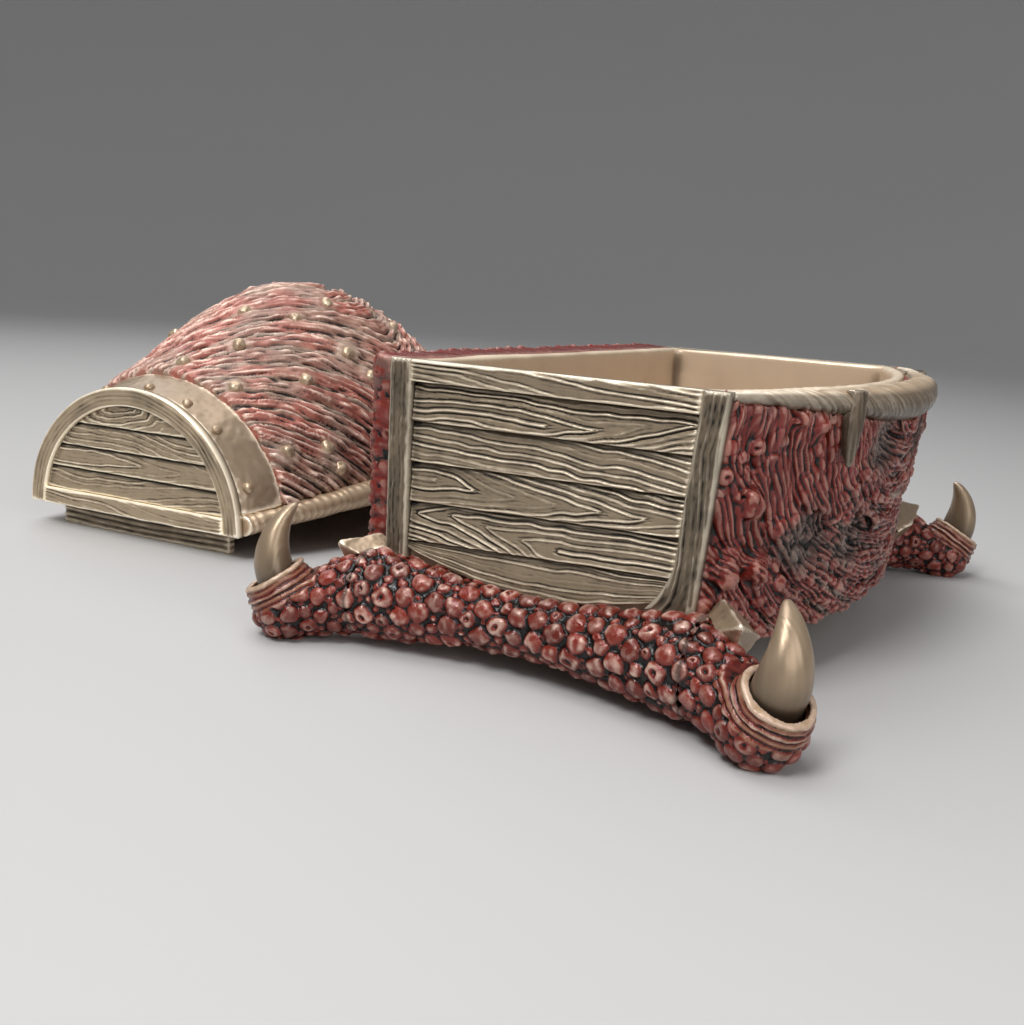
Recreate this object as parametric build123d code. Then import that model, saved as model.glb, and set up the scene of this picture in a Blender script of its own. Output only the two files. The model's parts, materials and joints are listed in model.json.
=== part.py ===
"""Claw-footed treasure chest: an open base on scaly feet and a humped lid that lifts off."""
import os
from math import acos, asin, cos, pi, radians, sin, sqrt

from build123d import *

# Sizes are in millimetres. +Z is up, the front faces -Y and the chest's length runs along X.

# Base: the body
rim_length = 143.0         # over the two end frames
rim_depth = 72.0           # over the corner posts at the rim
rim_height = 59.0          # rim above the table
belly_height = 11.0        # air under the belly
front_inset = 3.6          # how far the front corners draw in from rim to belly
back_inset = 0.6           # how far the back corners draw in from rim to belly
wall = 2.4                 # tub and lid shell
tub_floor = 3.0
tub_bow = 13.5             # how far the tub's front bows out, at the rim
tub_bow_belly = 10.5       # the same, at the belly

# Base: hide on the front and back
hide_edge = 3.0            # hide beside the corner posts
front_hide_bow = 17.8      # how far the front hide bows out beyond its corners, at the rim
front_hide_bow_belly = 16.0
back_hide_proud = 6.5      # back hide beyond the corner posts
back_hide_round = 2.0      # length over which it swells out beside a post
back_hide_bow = 1.6

# Hide: main strands, hollows and warts
groove_radius = 1.7        # grooves between the main strands
groove_lift = 0.7          # groove's axis above the hide
front_strand_reach = 20.0  # from the middle of the rim down to the first groove of the front hide
front_strand_step = 8.0    # from one groove to the next
front_strand_count = 6
hollow_half_length = 10.0
hollow_half_height = 5.8
hollow_depth = 2.6
front_wart_radius = 3.0    # the largest wart of the front hide
lid_strand_first = -36.0   # lowest strand of the lid's hide, degrees round from the front at the middle
lid_strand_step = 9.0      # degrees from one groove to the next
lid_strand_count = 23
lid_strand_lean = 1.05     # degrees that a strand climbs for each mm along the lid
lid_strand_round = 9.0     # the two sides of a strand meet in a bend of about this radius
lid_strand_low = 8.0       # strands run from here, degrees round from the front
lid_strand_high = 176.0    # to here
strand_points = 9          # each groove runs through this many points

# Base: end panels
frame_thickness = 2.6      # posts and top rails
plank_thickness = 1.4      # planks lie recessed between the posts
post_width = 5.0
post_foot = 18.0           # lower end of the posts above the table
top_rail_height = 4.3
plank_height = 7.9
plank_count = 4            # whole planks; a scalloped one lies below them
plank_fan = 2.6            # rise of the lowest joint from back to front
plank_joint = 0.3          # open joint between planks
plank_fit = 0.15           # between planks and posts
scallop_end = 20.5         # lower edge of the scalloped plank at the posts
scallop_low = 15.2         # the same edge at the middle

# Base: lower lip and fangs
lip_width = 9.4            # at the middle of the front
lip_height = 8.0
lip_rise = 0.4             # crown of the lip above the rim
lip_overhang = 2.0         # lip's front beyond the hide at the middle
fang_left_place = 37.5     # from the middle of the front
fang_right_place = 54.0
fang_width = 5.4
fang_length = 14.5
fang_lean = 2.0            # tip leans outwards along the front
fang_proud = 1.2           # fang's axis in front of the lip's face
fang_tip = 0.5

# Base: scaly rolls, toes, claws and corner spikes
roll_half = 36.0           # half the length of a roll, up to its toes
roll_mid_radius = 5.8
roll_quarter_radius = 7.0
roll_end_radius = 9.2
roll_mid_height = 9.8      # axis above the table
roll_quarter_height = 9.9
roll_end_height = 10.4
roll_mid_out = 0.4         # axis beyond the end frame
roll_quarter_out = 1.0
roll_end_out = 2.8
toe_reach_x = 8.6          # toe's ball beyond the roll's end
toe_reach_y = 14.8
ball_radius = 7.8
ball_height = 6.9
toe_waist_radius = 7.5     # toe between the roll and its ball
cuff_tilt = 31.5           # cuff's axis leans outwards from upright, degrees
cuff_seat = 3.5            # cuff's seat above the ball's centre
cuff_height = 3.4
cuff_radius = 7.2
cuff_gap = 0.3             # between cuff and claw
claw_half_width = 5.2      # across the toe
claw_half_depth = 4.0      # along the toe
claw_length = 19.5
claw_bend = 79.0           # turn from root to tip, degrees
claw_skew = 15.0           # turn of the curl away from the toe's line, degrees
claw_tip_share = 0.12
spike_side = 9.2            # across the flats of its square foot
spike_height = 8.3
spike_root = 5.0           # straight root behind the foot, sunk in the hide
spike_tip = 0.7
spike_out_x = 4.8          # tip beyond the end frame
spike_out_y = 7.8          # tip beyond the corner post
spike_tip_height = 20.0
spike_slope = 26.7         # axis above the table, degrees
spike_turn = 37.7          # axis round from the end towards the front, degrees
spike_spin = 45.0          # square foot turned to stand on a corner, degrees

# Lid: the humped shell
tongue_height = 6.4        # locating tongue, which the lid stands on when it is off
tongue_thickness = 2.2
tongue_clearance = 0.5     # between the tongue and the tub
arch_half = 37.2           # half the width of the end arches
arch_height = 35.2
arch_width = 5.0
arch_proud = 0.8           # arch beyond the strap behind it
strap_thickness = 2.2
strap_width = 10.4
lid_hide_thickness = 3.4
hump_height = 61.0         # shell above its lower edge, at the middle
hump_quarter = 51.5
hump_shoulder = 38.6
hump_front = 17.5          # shell's front beyond its ends, at the middle
hump_front_quarter = 13.5
hump_front_shoulder = 8.0
hump_back = 4.0            # shell's back beyond its ends, at the middle
lid_rail_height = 4.5
lid_plank_count = 4
mouth_rise = 6.5           # middle of the lid's front edge above its ends
mouth_depth = 22.0         # arched edge runs this far in from the front, from the lid's middle
upper_lip_height = 7.4
upper_lip_depth = 8.0
rivet_radius = 1.5
wart_radius = 2.2

# The lid as it lies beside the base, taken off
lid_right = 20.6           # lid's middle from the base's middle
lid_behind = 142.0
lid_turn = 4.1             # degrees

overrun = 6.0              # cutters run this far past what they cut

# Shares, chosen by eye
quarter_share = 0.45       # station between the middle and the end of the lid
quarter_back_share = 0.67  # how much of the back's swell is reached there
shoulder_share = 0.78
shoulder_back_share = 0.33
lip_station_shares = (-1.0, -0.8, -0.45, 0.0, 0.45, 0.8, 1.0)
lip_swell_shares = (0.24, 0.42, 0.76, 1.0, 0.76, 0.42, 0.24)
upper_swell_shares = (0.7, 0.78, 0.92, 1.0, 0.92, 0.78, 0.7)
claw_station_shares = (0.0, 0.2, 0.45, 0.72, 0.9, 1.0)
claw_swell_shares = (0.96, 1.0, 0.86, 0.56, 0.32, claw_tip_share)
toe_waist_share = 0.5
fang_station_shares = (0.0, 0.5, 1.0)
front_strand_share = 1.25  # length of a front strand's bend for its depth
hollow_place_shares = (0.22, 0.59, 0.3)      # of half the tub's length, from the middle
hollow_level_shares = (0.8, 0.5, 0.46)       # of the rim's height
front_wart_side_shares = (0.895, 0.836, 0.933, 0.85, 0.768, 0.676)
front_wart_level_shares = (0.66, 0.44, 0.444, 0.915, 0.908, 0.893)
front_wart_swell_shares = (0.87, 1.0, 0.73, 0.63, 0.47, 0.5)
cuff_fold_share = 0.25     # depth of the groove between a cuff's two folds
rivet_place_share = 0.27   # of a strap's width, in from the lid's end
rivet_turns = (19.0, 46.0, 64.0, 86.0, 112.0, 134.0, 158.0)    # degrees round a strap from the front
low_wart_place_shares = (-0.92, -0.72, -0.68, -0.64, -0.35, -0.3, 0.3, 0.5, 0.75)
low_wart_turns = (28.0, 26.0, 19.0, 50.0, 53.0, 44.0, 20.0, 45.0, 30.0)
top_wart_place_shares = (-0.93, -0.93, -0.72, -0.5, -0.42, -0.18, 0.15, 0.35, 0.62, 0.85, 0.9)
top_wart_turns = (59.0, 85.0, 75.0, 86.0, 71.0, 72.0, 60.0, 80.0, 70.0, 62.0, 84.0)
back_wart_place_shares = (-0.8, -0.6, -0.2, 0.1, 0.45, 0.7)
back_wart_turns = (140.0, 110.0, 125.0, 105.0, 118.0, 135.0)

half_length = rim_length / 2
half_depth = rim_depth / 2
core_half = half_length - frame_thickness     # tub and lid shell end here
lid_end_wall = wall + tongue_clearance + tongue_thickness
shell_half = arch_half - arch_proud - strap_thickness
shell_height = arch_height - arch_proud - strap_thickness
standing = (Align.CENTER, Align.CENTER, Align.MIN)    # a block that stands on its place


def draw_in(inset, level):
    """The part of an inset that is reached at a level, none at the rim and all at the belly."""
    return inset * (rim_height - level) / (rim_height - belly_height)


def front_at(level):
    """Distance of the front corners from the middle."""
    return half_depth - draw_in(front_inset, level)


def back_at(level):
    """Distance of the back corners from the middle."""
    return half_depth - draw_in(back_inset, level)


def bowed_plan(level, half, back, front, bow):
    """Plan with straight ends and back, and a front that bows out."""
    outline = Polyline((half, -front), (half, back), (-half, back), (-half, -front))
    outline += ThreePointArc((-half, -front), (0, -front - bow), (half, -front))
    return Pos(0, 0, level) * make_face(outline.edges())


def bowed_block(low, high, half, inset, bow, bow_belly):
    """Block between two levels that follows the chest's taper, inset from its corners."""
    plans = []
    for level in (low, high):
        bow_here = bow - draw_in(bow - bow_belly, level)
        plan = bowed_plan(level, half, back_at(level) - inset, front_at(level) - inset, bow_here)
        plans.append(plan.face())
    return loft(plans, ruled=True)


def slab(points, outside, thickness):
    """Slab on the left end, drawn in Y and Z, from its outside face inwards."""
    face = make_face(Polyline(*points, close=True).edges())
    return Pos(outside, 0, 0) * extrude(Plane.YZ * face, amount=thickness)


def mirrored(shape):
    """The same piece on the other end."""
    return mirror(shape, about=Plane.YZ)


def to_back(shape):
    """The same piece on the other corner of one end."""
    return mirror(shape, about=Plane.XZ)


def cut(shape, *others):
    """One solid less others, as a single solid."""
    for other in others:
        shape = shape - other
    return max(shape.solids(), key=lambda solid: solid.volume)


def swept_bar(planes, sizes):
    """Bar through ellipses on the given planes, each with its two radii."""
    sections = []
    for plane, (across, upright) in zip(planes, sizes):
        sections.append((plane * Ellipse(across, upright)).face())
    return loft(sections).solid()


# Tub
tub_block = bowed_block(belly_height, rim_height, core_half, hide_edge, tub_bow, tub_bow_belly)
tub_hollow = bowed_block(
    belly_height + tub_floor,
    rim_height + overrun,
    core_half - wall,
    hide_edge + wall,
    tub_bow,
    tub_bow_belly,
)
pieces = {"tub": cut(tub_block, tub_hollow)}


# Lower lip
def front_bow(x, half, bow):
    """Distance that a bowed front has gained at a place along it, and the slope there."""
    gain = bow * (1 - (x / half) ** 2)
    slope = 2 * bow * x / half**2
    return gain, slope


lip_bow = front_hide_bow + lip_overhang
lip_planes = []
lip_sizes = []
lip_room = []
for station_share, swell_share in zip(lip_station_shares, lip_swell_shares):
    x = core_half * station_share
    gain, slope = front_bow(x, core_half, lip_bow)
    half_width = lip_width * swell_share / 2
    half_height = lip_height * swell_share / 2
    place = (x, half_width - half_depth - gain, rim_height + lip_rise * swell_share - half_height)
    plane = Plane(place, x_dir=(-slope, 1, 0), z_dir=(1, slope, 0))
    lip_planes.append(plane)
    lip_sizes.append((half_width, half_height))
    room_above = Rectangle(lip_width * 2, lip_height, align=(Align.CENTER, Align.MIN))
    lip_room.append((plane * room_above).face())
between_ends = Box(core_half * 2, rim_depth * 2, rim_height * 2 + overrun)
lip_bar = swept_bar(lip_planes, lip_sizes) & between_ends
pieces["lower_lip"] = cut(lip_bar, tub_block)


# Front hide, with hanging strands, hollows and warts
def front_face(x, level, lift=0):
    """Point on the front hide's face, or lifted off it."""
    bow = front_hide_bow - draw_in(front_hide_bow - front_hide_bow_belly, level)
    arc_radius = (core_half**2 + bow**2) / (2 * bow)
    return Vector(x, arc_radius - sqrt(arc_radius**2 - x**2) - front_at(level) - bow - lift, level)


def groove(points):
    """Round groove along points just off a hide's face."""
    path = Spline(*points)
    return sweep(Plane(path @ 0, z_dir=path % 0) * Circle(groove_radius), path=path)


def spread(first, last, count):
    """Evenly spread values from first to last."""
    return [first + (last - first) * number / (count - 1) for number in range(count)]


def front_groove(reach, first, last):
    """Groove that hangs in an oval bend round the middle of the rim, between two angles from below."""
    points = []
    for angle in spread(first, last, strand_points):
        x = front_strand_share * reach * sin(angle)
        points.append(front_face(x, rim_height - reach * cos(angle), groove_lift))
    return groove(points)


front_grooves = []
above_rim = pi / 2 + groove_radius / front_strand_reach
for number in range(front_strand_count):
    reach = front_strand_reach + front_strand_step * number
    high = above_rim
    if front_strand_share * reach > core_half:
        high = asin(min((core_half + groove_radius * 2) / (front_strand_share * reach), 1))
    below_belly = rim_height - belly_height + groove_radius * 2
    if reach < below_belly:
        front_grooves.append(front_groove(reach, -high, high))
    else:
        low = acos(below_belly / reach)
        front_grooves += [front_groove(reach, low, high), front_groove(reach, -high, -low)]

front_hollows = []
for place_share, level_share in zip(hollow_place_shares, hollow_level_shares):
    for side in (-1, 1):
        bowl = scale(Sphere(1), by=(hollow_half_length, hollow_depth, hollow_half_height))
        middle = front_face(core_half * place_share * side, rim_height * level_share)
        front_hollows.append(Pos(*middle) * bowl)
front_warts = []
for side_share, level_share, swell_share in zip(
    front_wart_side_shares, front_wart_level_shares, front_wart_swell_shares
):
    for side in (-1, 1):
        middle = front_face(core_half * side_share * side, rim_height * level_share)
        front_warts.append(Pos(*middle) * Sphere(front_wart_radius * swell_share))

front_block = bowed_block(belly_height, rim_height, core_half, 0, front_hide_bow, front_hide_bow_belly)
back_space = Pos(0, half_depth, 0) * Box(rim_length, rim_depth, rim_height + overrun, align=standing)
front_skin = cut(front_block, tub_block, back_space)
front_skin = front_skin - front_grooves - front_hollows + front_warts
pieces["front_hide"] = cut(front_skin, lip_bar, loft(lip_room), tub_block)


# Back hide


def back_plan(level):
    """Plan of the back hide: it swells out beside each post, then bows a little."""
    back = back_at(level)
    proud = back + back_hide_proud
    swell_x = core_half - back_hide_round
    outline = Polyline((core_half, back), (core_half, 0), (-core_half, 0), (-core_half, back))
    outline += Spline((-core_half, back), (-swell_x, proud), tangents=((0, 1), (1, 0)))
    outline += ThreePointArc((-swell_x, proud), (0, proud + back_hide_bow), (swell_x, proud))
    outline += Spline((swell_x, proud), (core_half, back), tangents=((1, 0), (0, -1)))
    return (Pos(0, 0, level) * make_face(outline.edges())).face()


back_block = loft([back_plan(belly_height), back_plan(rim_height)], ruled=True)
front_space = Pos(0, -half_depth, 0) * Box(rim_length, rim_depth, rim_height + overrun, align=standing)
pieces["back_hide"] = cut(back_block, tub_block, front_space)

# Fangs over the lower lip
def fang(place_x, lean):
    """Fang that hooks over the lip at a place along the front."""
    gain = front_bow(place_x, core_half, lip_bow)[0]
    root = Vector(place_x, fang_width / 2 - half_depth - gain - fang_proud, rim_height)
    reach = Vector(lean, -fang_proud, -fang_length)
    planes = []
    sizes = []
    for station_share in fang_station_shares:
        taper = station_share**2
        radius = fang_width / 2 * (1 - taper) + fang_tip * taper
        planes.append(Plane(root + reach * station_share, x_dir=(1, 0, 0), z_dir=reach))
        sizes.append((radius, radius))
    return cut(swept_bar(planes, sizes), pieces["lower_lip"], pieces["front_hide"], tub_block)


pieces["fang_left"] = fang(-fang_left_place, -fang_lean)
pieces["fang_right"] = fang(fang_right_place, fang_lean)


# End panels
def inner_edges(level):
    """Y of the front and back posts' inner edges at a level."""
    return -front_at(level) + post_width, back_at(level) - post_width


def post_points(edge_at):
    """Outline of a post that follows one edge of the end panel."""
    corners = ((rim_height, 0), (rim_height, post_width), (post_foot, post_width), (post_foot, 0))
    return [(shift - edge_at(level), level) for level, shift in corners]


end_x = -half_length
plank_x = -core_half - plank_thickness
post_front = slab(post_points(front_at), end_x, frame_thickness)
post_back = to_back(slab(post_points(back_at), end_x, frame_thickness))
pieces["post_front_left"] = post_front
pieces["post_back_left"] = post_back
rail_low = rim_height - top_rail_height
rail_points = [(y, rim_height) for y in inner_edges(rim_height)]
rail_points += [(y, rail_low) for y in reversed(inner_edges(rail_low))]
pieces["top_rail_left"] = slab(rail_points, end_x, frame_thickness)


def plank_edge(level, front):
    """Point at the front or back end of a plank, clear of the post beside it."""
    front_y, back_y = inner_edges(level)
    return (front_y + plank_fit if front else back_y - plank_fit), level


def joint_levels(number):
    """Levels of a joint between planks at the front and the back, counted from the top rail."""
    level = rail_low - plank_height * number
    rise = plank_fan * number / plank_count / 2
    return level + rise, level - rise


for number in range(plank_count):
    upper_front, upper_back = joint_levels(number)
    lower_front, lower_back = joint_levels(number + 1)
    gap = plank_joint / 2
    corners = [plank_edge(upper_front - gap, True), plank_edge(upper_back - gap, False)]
    corners += [plank_edge(lower_back + gap, False), plank_edge(lower_front + gap, True)]
    pieces[f"plank_{number + 1}_left"] = slab(corners, plank_x, plank_thickness)

upper_front, upper_back = joint_levels(plank_count)
low_front = plank_edge(scallop_end, True)
low_back = plank_edge(scallop_end, False)
high_front = plank_edge(upper_front - plank_joint / 2, True)
high_back = plank_edge(upper_back - plank_joint / 2, False)
outline = Polyline(low_front, high_front, high_back, low_back)
outline += ThreePointArc(low_back, (0, scallop_low), low_front)
scallop = Pos(plank_x, 0, 0) * extrude(Plane.YZ * make_face(outline.edges()), amount=plank_thickness)
pieces["plank_scalloped_left"] = scallop.solid()

# Scaly rolls
roll_stations = (
    (-roll_half, roll_end_out, roll_end_height, roll_end_radius),
    (-roll_half / 2, roll_quarter_out, roll_quarter_height, roll_quarter_radius),
    (0, roll_mid_out, roll_mid_height, roll_mid_radius),
    (roll_half / 2, roll_quarter_out, roll_quarter_height, roll_quarter_radius),
    (roll_half, roll_end_out, roll_end_height, roll_end_radius),
)
roll_planes = []
roll_sizes = []
for y, out, height, radius in roll_stations:
    roll_planes.append(Plane((-half_length - out, y, height), x_dir=(1, 0, 0), z_dir=(0, 1, 0)))
    roll_sizes.append((radius, radius))
roll_bar = swept_bar(roll_planes, roll_sizes)
roll = cut(roll_bar, tub_block, front_block, back_block, post_front, post_back, scallop)
pieces["roll_left"] = roll

# Toes with their cuffs
toe_root = Vector(-half_length - roll_end_out, -roll_half, roll_end_height)
ball = Vector(toe_root.X - toe_reach_x, toe_root.Y - toe_reach_y, ball_height)
toe_way = (ball - toe_root).normalized()
waist_way = (toe_way + Vector(0, -1, 0)).normalized()
toe_waist = toe_root + (ball - toe_root) * toe_waist_share
toe_planes = []
for place, way in ((toe_root, Vector(0, -1, 0)), (toe_waist, waist_way), (ball, toe_way)):
    toe_planes.append(Plane(place, x_dir=(1, way.X / -way.Y, 0), z_dir=way))
toe_radii = (roll_end_radius, toe_waist_radius, toe_waist_radius)
toe_limb = swept_bar(toe_planes, [(radius, radius) for radius in toe_radii])
out_way = Vector(toe_way.X, toe_way.Y, 0).normalized()
side_way = Vector(0, 0, 1).cross(out_way)
cuff_up = Vector(0, 0, 1) * cos(radians(cuff_tilt)) + out_way * sin(radians(cuff_tilt))
cuff_plane = Plane(ball + cuff_up * cuff_seat, x_dir=side_way, z_dir=cuff_up)
toe_size = ball_radius + toe_reach_y + overrun
above_cuff = cuff_plane * Box(toe_size, toe_size, toe_size, align=standing)
under_table = Pos(toe_root.X, toe_root.Y, -toe_size) * Box(
    toe_size * 2, toe_size * 2, toe_size, align=standing
)
cuff_bore = claw_half_width + cuff_gap
cuff_groove = cuff_radius - cuff_height * cuff_fold_share
cuff_brow = (cuff_radius + cuff_groove) / 2
cuff_profile = Polyline(
    (cuff_groove, 0), (cuff_bore, 0), (cuff_bore, cuff_height), (cuff_groove, cuff_height)
)
for top, reach in ((cuff_height, cuff_brow), (cuff_height / 2, cuff_radius)):
    foot = top - cuff_height / 2
    cuff_profile += ThreePointArc((cuff_groove, top), (reach, (top + foot) / 2), (cuff_groove, foot))
cuff = cuff_plane * revolve(Plane.XZ * make_face(cuff_profile.edges()), axis=Axis.Z)
ball_solid = Pos(*ball) * Sphere(ball_radius)
toe_whole = toe_limb + ball_solid - above_cuff - under_table + cuff
pieces["toe_front_left"] = cut(toe_whole, roll_bar, front_block, post_front)


# Claws
def horn(root, heading, turn_to, bend, length, half_sizes, station_shares, swell_shares):
    """Tapered horn that starts along a heading and turns towards another direction."""
    across = heading.cross(turn_to)
    curve_radius = length / radians(bend)
    planes = []
    sizes = []
    for station_share, swell_share in zip(station_shares, swell_shares):
        turn = radians(bend) * station_share
        place = root + (heading * sin(turn) + turn_to * (1 - cos(turn))) * curve_radius
        planes.append(Plane(place, x_dir=across, z_dir=heading * cos(turn) + turn_to * sin(turn)))
        sizes.append((half_sizes[0] * swell_share, half_sizes[1] * swell_share))
    return swept_bar(planes, sizes)


claw_back = (Vector(0, 0, 1) - cuff_up * cuff_up.Z).normalized()
claw_in = claw_back * cos(radians(claw_skew)) + side_way * sin(radians(claw_skew))
pieces["claw_front_left"] = horn(
    cuff_plane.origin,
    cuff_up,
    claw_in,
    claw_bend,
    claw_length,
    (claw_half_width, claw_half_depth),
    claw_station_shares,
    claw_swell_shares,
)

# Corner spikes
spike_flat_way = Vector(-cos(radians(spike_turn)), -sin(radians(spike_turn)), 0)
spike_way = spike_flat_way * cos(radians(spike_slope)) + Vector(0, 0, sin(radians(spike_slope)))
spike_end = Vector(-half_length - spike_out_x, -half_depth - spike_out_y, spike_tip_height)
spike_side_way = Vector(0, 0, 1).cross(spike_way).normalized()
spike_foot = Plane(spike_end - spike_way * spike_height, x_dir=spike_side_way, z_dir=spike_way)
spike_base = (spike_foot * Rectangle(spike_side, spike_side, rotation=spike_spin)).face()
spike_top = spike_foot.offset(spike_height) * Rectangle(spike_tip, spike_tip, rotation=spike_spin)
spike_point = loft([spike_base, spike_top.face()], ruled=True)
spike = spike_point + extrude(spike_base, amount=-spike_root, dir=spike_way)
pieces["spike_front_left"] = cut(spike, roll_bar, toe_limb, front_block, post_front, tub_block)
pieces["spike_back_left"] = cut(
    to_back(spike), roll_bar, to_back(toe_limb), back_block, post_back, tub_block
)

pieces["toe_back_left"] = cut(to_back(toe_whole), roll_bar, back_block, post_back)
pieces["claw_back_left"] = to_back(pieces["claw_front_left"])
for name in [name for name in pieces if name.endswith("_left") and not name.startswith("fang")]:
    pieces[name.replace("_left", "_right")] = mirrored(pieces[name])


# Lid shell, straps and hide, all from one humped form
lid_low = tongue_height


def lid_section(x, front, back, height):
    """Cross-section of the lid: flat below, two quarter ellipses above."""
    outline = Polyline((-front, lid_low), (back, lid_low))
    outline += EllipticalCenterArc((0, lid_low), back, height, start_angle=0, arc_size=90)
    outline += EllipticalCenterArc((0, lid_low), front, height, start_angle=90, arc_size=90)
    return (Pos(x, 0, 0) * (Plane.YZ * make_face(outline.edges()))).face()


def lid_form(growth):
    """The lid's humped form, grown by a thickness all round."""
    end = shell_half + growth
    end_height = shell_height + growth
    shoulder = core_half * shoulder_share
    shoulder_back = end + hump_back * shoulder_back_share
    quarter = core_half * quarter_share
    quarter_back = end + hump_back * quarter_back_share
    half_form = (
        (core_half, end, end, end_height),
        (shoulder, end + hump_front_shoulder, shoulder_back, hump_shoulder + growth),
        (quarter, end + hump_front_quarter, quarter_back, hump_quarter + growth),
    )
    stations = [(-x, front, back, height) for x, front, back, height in half_form]
    stations.append((0, end + hump_front, end + hump_back, hump_height + growth))
    stations += reversed(half_form)
    return loft([lid_section(*station) for station in stations]).solid()


def across_lid(half, length_from=0):
    """Blocks that cover the lid between two distances from its middle, on both sides of it."""
    tall = (lid_low + hump_height + overrun) * 2
    whole = Box(half * 2, rim_depth * 2, tall)
    if length_from:
        whole = whole - Box(length_from * 2, rim_depth * 2, tall)
    return whole


shell_form = lid_form(0)
hide_form = lid_form(lid_hide_thickness)
strap_form = lid_form(strap_thickness)
hollow_form = lid_form(-wall) & across_lid(core_half - lid_end_wall)
strap_inner = core_half - strap_width
hide_skin = (hide_form - shell_form) & across_lid(strap_inner)


def on_form(form, x, turn, lift=0):
    """Point on a form of the lid, or lifted off it, at a place along it and a turn round from the front."""
    aim = Vector(0, -cos(radians(turn)), sin(radians(turn)))
    ray = Axis((x, 0, lid_low), aim)
    places = []
    for face in form.faces():
        places += [place for place, normal in face.find_intersection_points(ray)]
    return max(places, key=lambda place: (place - ray.position).dot(aim)) + aim * lift


def lid_groove(middle_turn, first, last):
    """Groove of the lid's hide between two places; it climbs away from the lid's middle."""
    points = []
    for x in spread(first, last, strand_points):
        climb = sqrt(x**2 + lid_strand_round**2) - lid_strand_round
        points.append(on_form(hide_form, x, middle_turn + lid_strand_lean * climb, groove_lift))
    return groove(points)


def place_at(middle_turn, turn):
    """Distance from the lid's middle at which a strand has climbed to a turn."""
    climb = (turn - middle_turn) / lid_strand_lean + lid_strand_round
    return sqrt(climb**2 - lid_strand_round**2)


lid_grooves = []
for number in range(lid_strand_count):
    middle_turn = lid_strand_first + lid_strand_step * number
    end = min(strap_inner + groove_radius * 2, place_at(middle_turn, lid_strand_high))
    if middle_turn > lid_strand_low:
        lid_grooves.append(lid_groove(middle_turn, -end, end))
    else:
        start = place_at(middle_turn, lid_strand_low)
        lid_grooves += [lid_groove(middle_turn, start, end), lid_groove(middle_turn, -end, -start)]
hide_skin = hide_skin - lid_grooves
strap_skin = (strap_form - shell_form) & across_lid(core_half, strap_inner)

mouth_low = lid_low - overrun
mouth_outline = Polyline(
    (core_half, lid_low), (core_half, mouth_low), (-core_half, mouth_low), (-core_half, lid_low)
)
mouth_outline += ThreePointArc((-core_half, lid_low), (0, lid_low + mouth_rise), (core_half, lid_low))
mouth_face = make_face(mouth_outline.edges())
mouth = Pos(0, -mouth_depth, 0) * extrude(Plane.XZ * mouth_face, amount=rim_depth)

# Upper lip along the arched front edge
upper_planes = []
upper_sizes = []
for station_share, swell_share in zip(lip_station_shares, upper_swell_shares):
    x = core_half * station_share
    gain, slope = front_bow(x, core_half, hump_front + lid_hide_thickness - strap_thickness)
    rise, climb = front_bow(x, core_half, mouth_rise)
    half_height = upper_lip_height * swell_share / 2
    place = (x, -shell_half - strap_thickness - gain, lid_low + rise + half_height)
    upper_planes.append(Plane(place, x_dir=(-slope, 1, 0), z_dir=(1, slope, -climb)))
    upper_sizes.append((upper_lip_depth * swell_share / 2, half_height))
upper_lip = swept_bar(upper_planes, upper_sizes) & across_lid(core_half)

lid = {}
lid["lid_shell"] = cut(shell_form, hollow_form, mouth, upper_lip)
lid["lid_hide"] = cut(hide_skin, mouth, upper_lip)
lid["upper_lip"] = upper_lip.solid()
left_half = Pos(-rim_length, 0, 0) * Box(rim_length * 2, rim_length * 2, rim_length * 2)
lid["strap_left"] = cut(strap_skin & left_half, mouth, upper_lip)

# Locating tongue under the lid, open at the front
tongue_half = core_half - wall - tongue_clearance
tongue_back = back_at(rim_height) - hide_edge - wall - tongue_clearance
tongue_front = front_at(rim_height) - hide_edge - wall - tongue_clearance
tongue_inner = tongue_half - tongue_thickness
from_back = (Align.CENTER, Align.MAX, Align.MIN)
tongue_block = Pos(0, tongue_back, 0) * Box(
    tongue_half * 2, tongue_back + tongue_front, tongue_height, align=from_back
)
tongue_space = Pos(0, tongue_back - tongue_thickness, 0) * Box(
    tongue_inner * 2, rim_depth, tongue_height, align=from_back
)
lid["lid_tongue"] = cut(tongue_block, tongue_space)

# Lid ends: arch, rail and planks
def half_oval(inset):
    """Upper half of the arch's oval, inset, standing on the lid's lower edge."""
    half = arch_half - inset
    height = arch_height - inset
    return Pos(0, lid_low) * (Ellipse(half, height) & Pos(0, height) * Rectangle(half * 2, height * 2))


def lid_end_piece(sketch, outside, thickness):
    """Piece of the lid's left end, from a sketch in Y and Z."""
    return (Pos(outside, 0, 0) * extrude(Plane.YZ * sketch, amount=thickness)).solid()


inside_arch = half_oval(arch_width)
lid["lid_arch_left"] = lid_end_piece(half_oval(0) - inside_arch, end_x, frame_thickness)
rail_strip = Pos(0, lid_low + lid_rail_height / 2) * Rectangle(arch_half * 2, lid_rail_height)
lid["lid_rail_left"] = lid_end_piece(inside_arch & rail_strip, end_x, frame_thickness)
lid_plank_height = (arch_height - arch_width - lid_rail_height) / lid_plank_count
for number in range(lid_plank_count):
    middle = lid_low + lid_rail_height + lid_plank_height * number + lid_plank_height / 2
    strip = Pos(0, middle) * Rectangle(arch_half * 2, lid_plank_height - plank_joint)
    lid[f"lid_plank_{number + 1}_left"] = lid_end_piece(inside_arch & strip, plank_x, plank_thickness)


# Dome rivets on the straps and warts on the hide
def dome(form, x, turn, radius):
    """Dome seated on a form of the lid, at a place along it and a turn round from the front."""
    return Pos(*on_form(form, x, turn)) * Sphere(radius) - form


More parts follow.
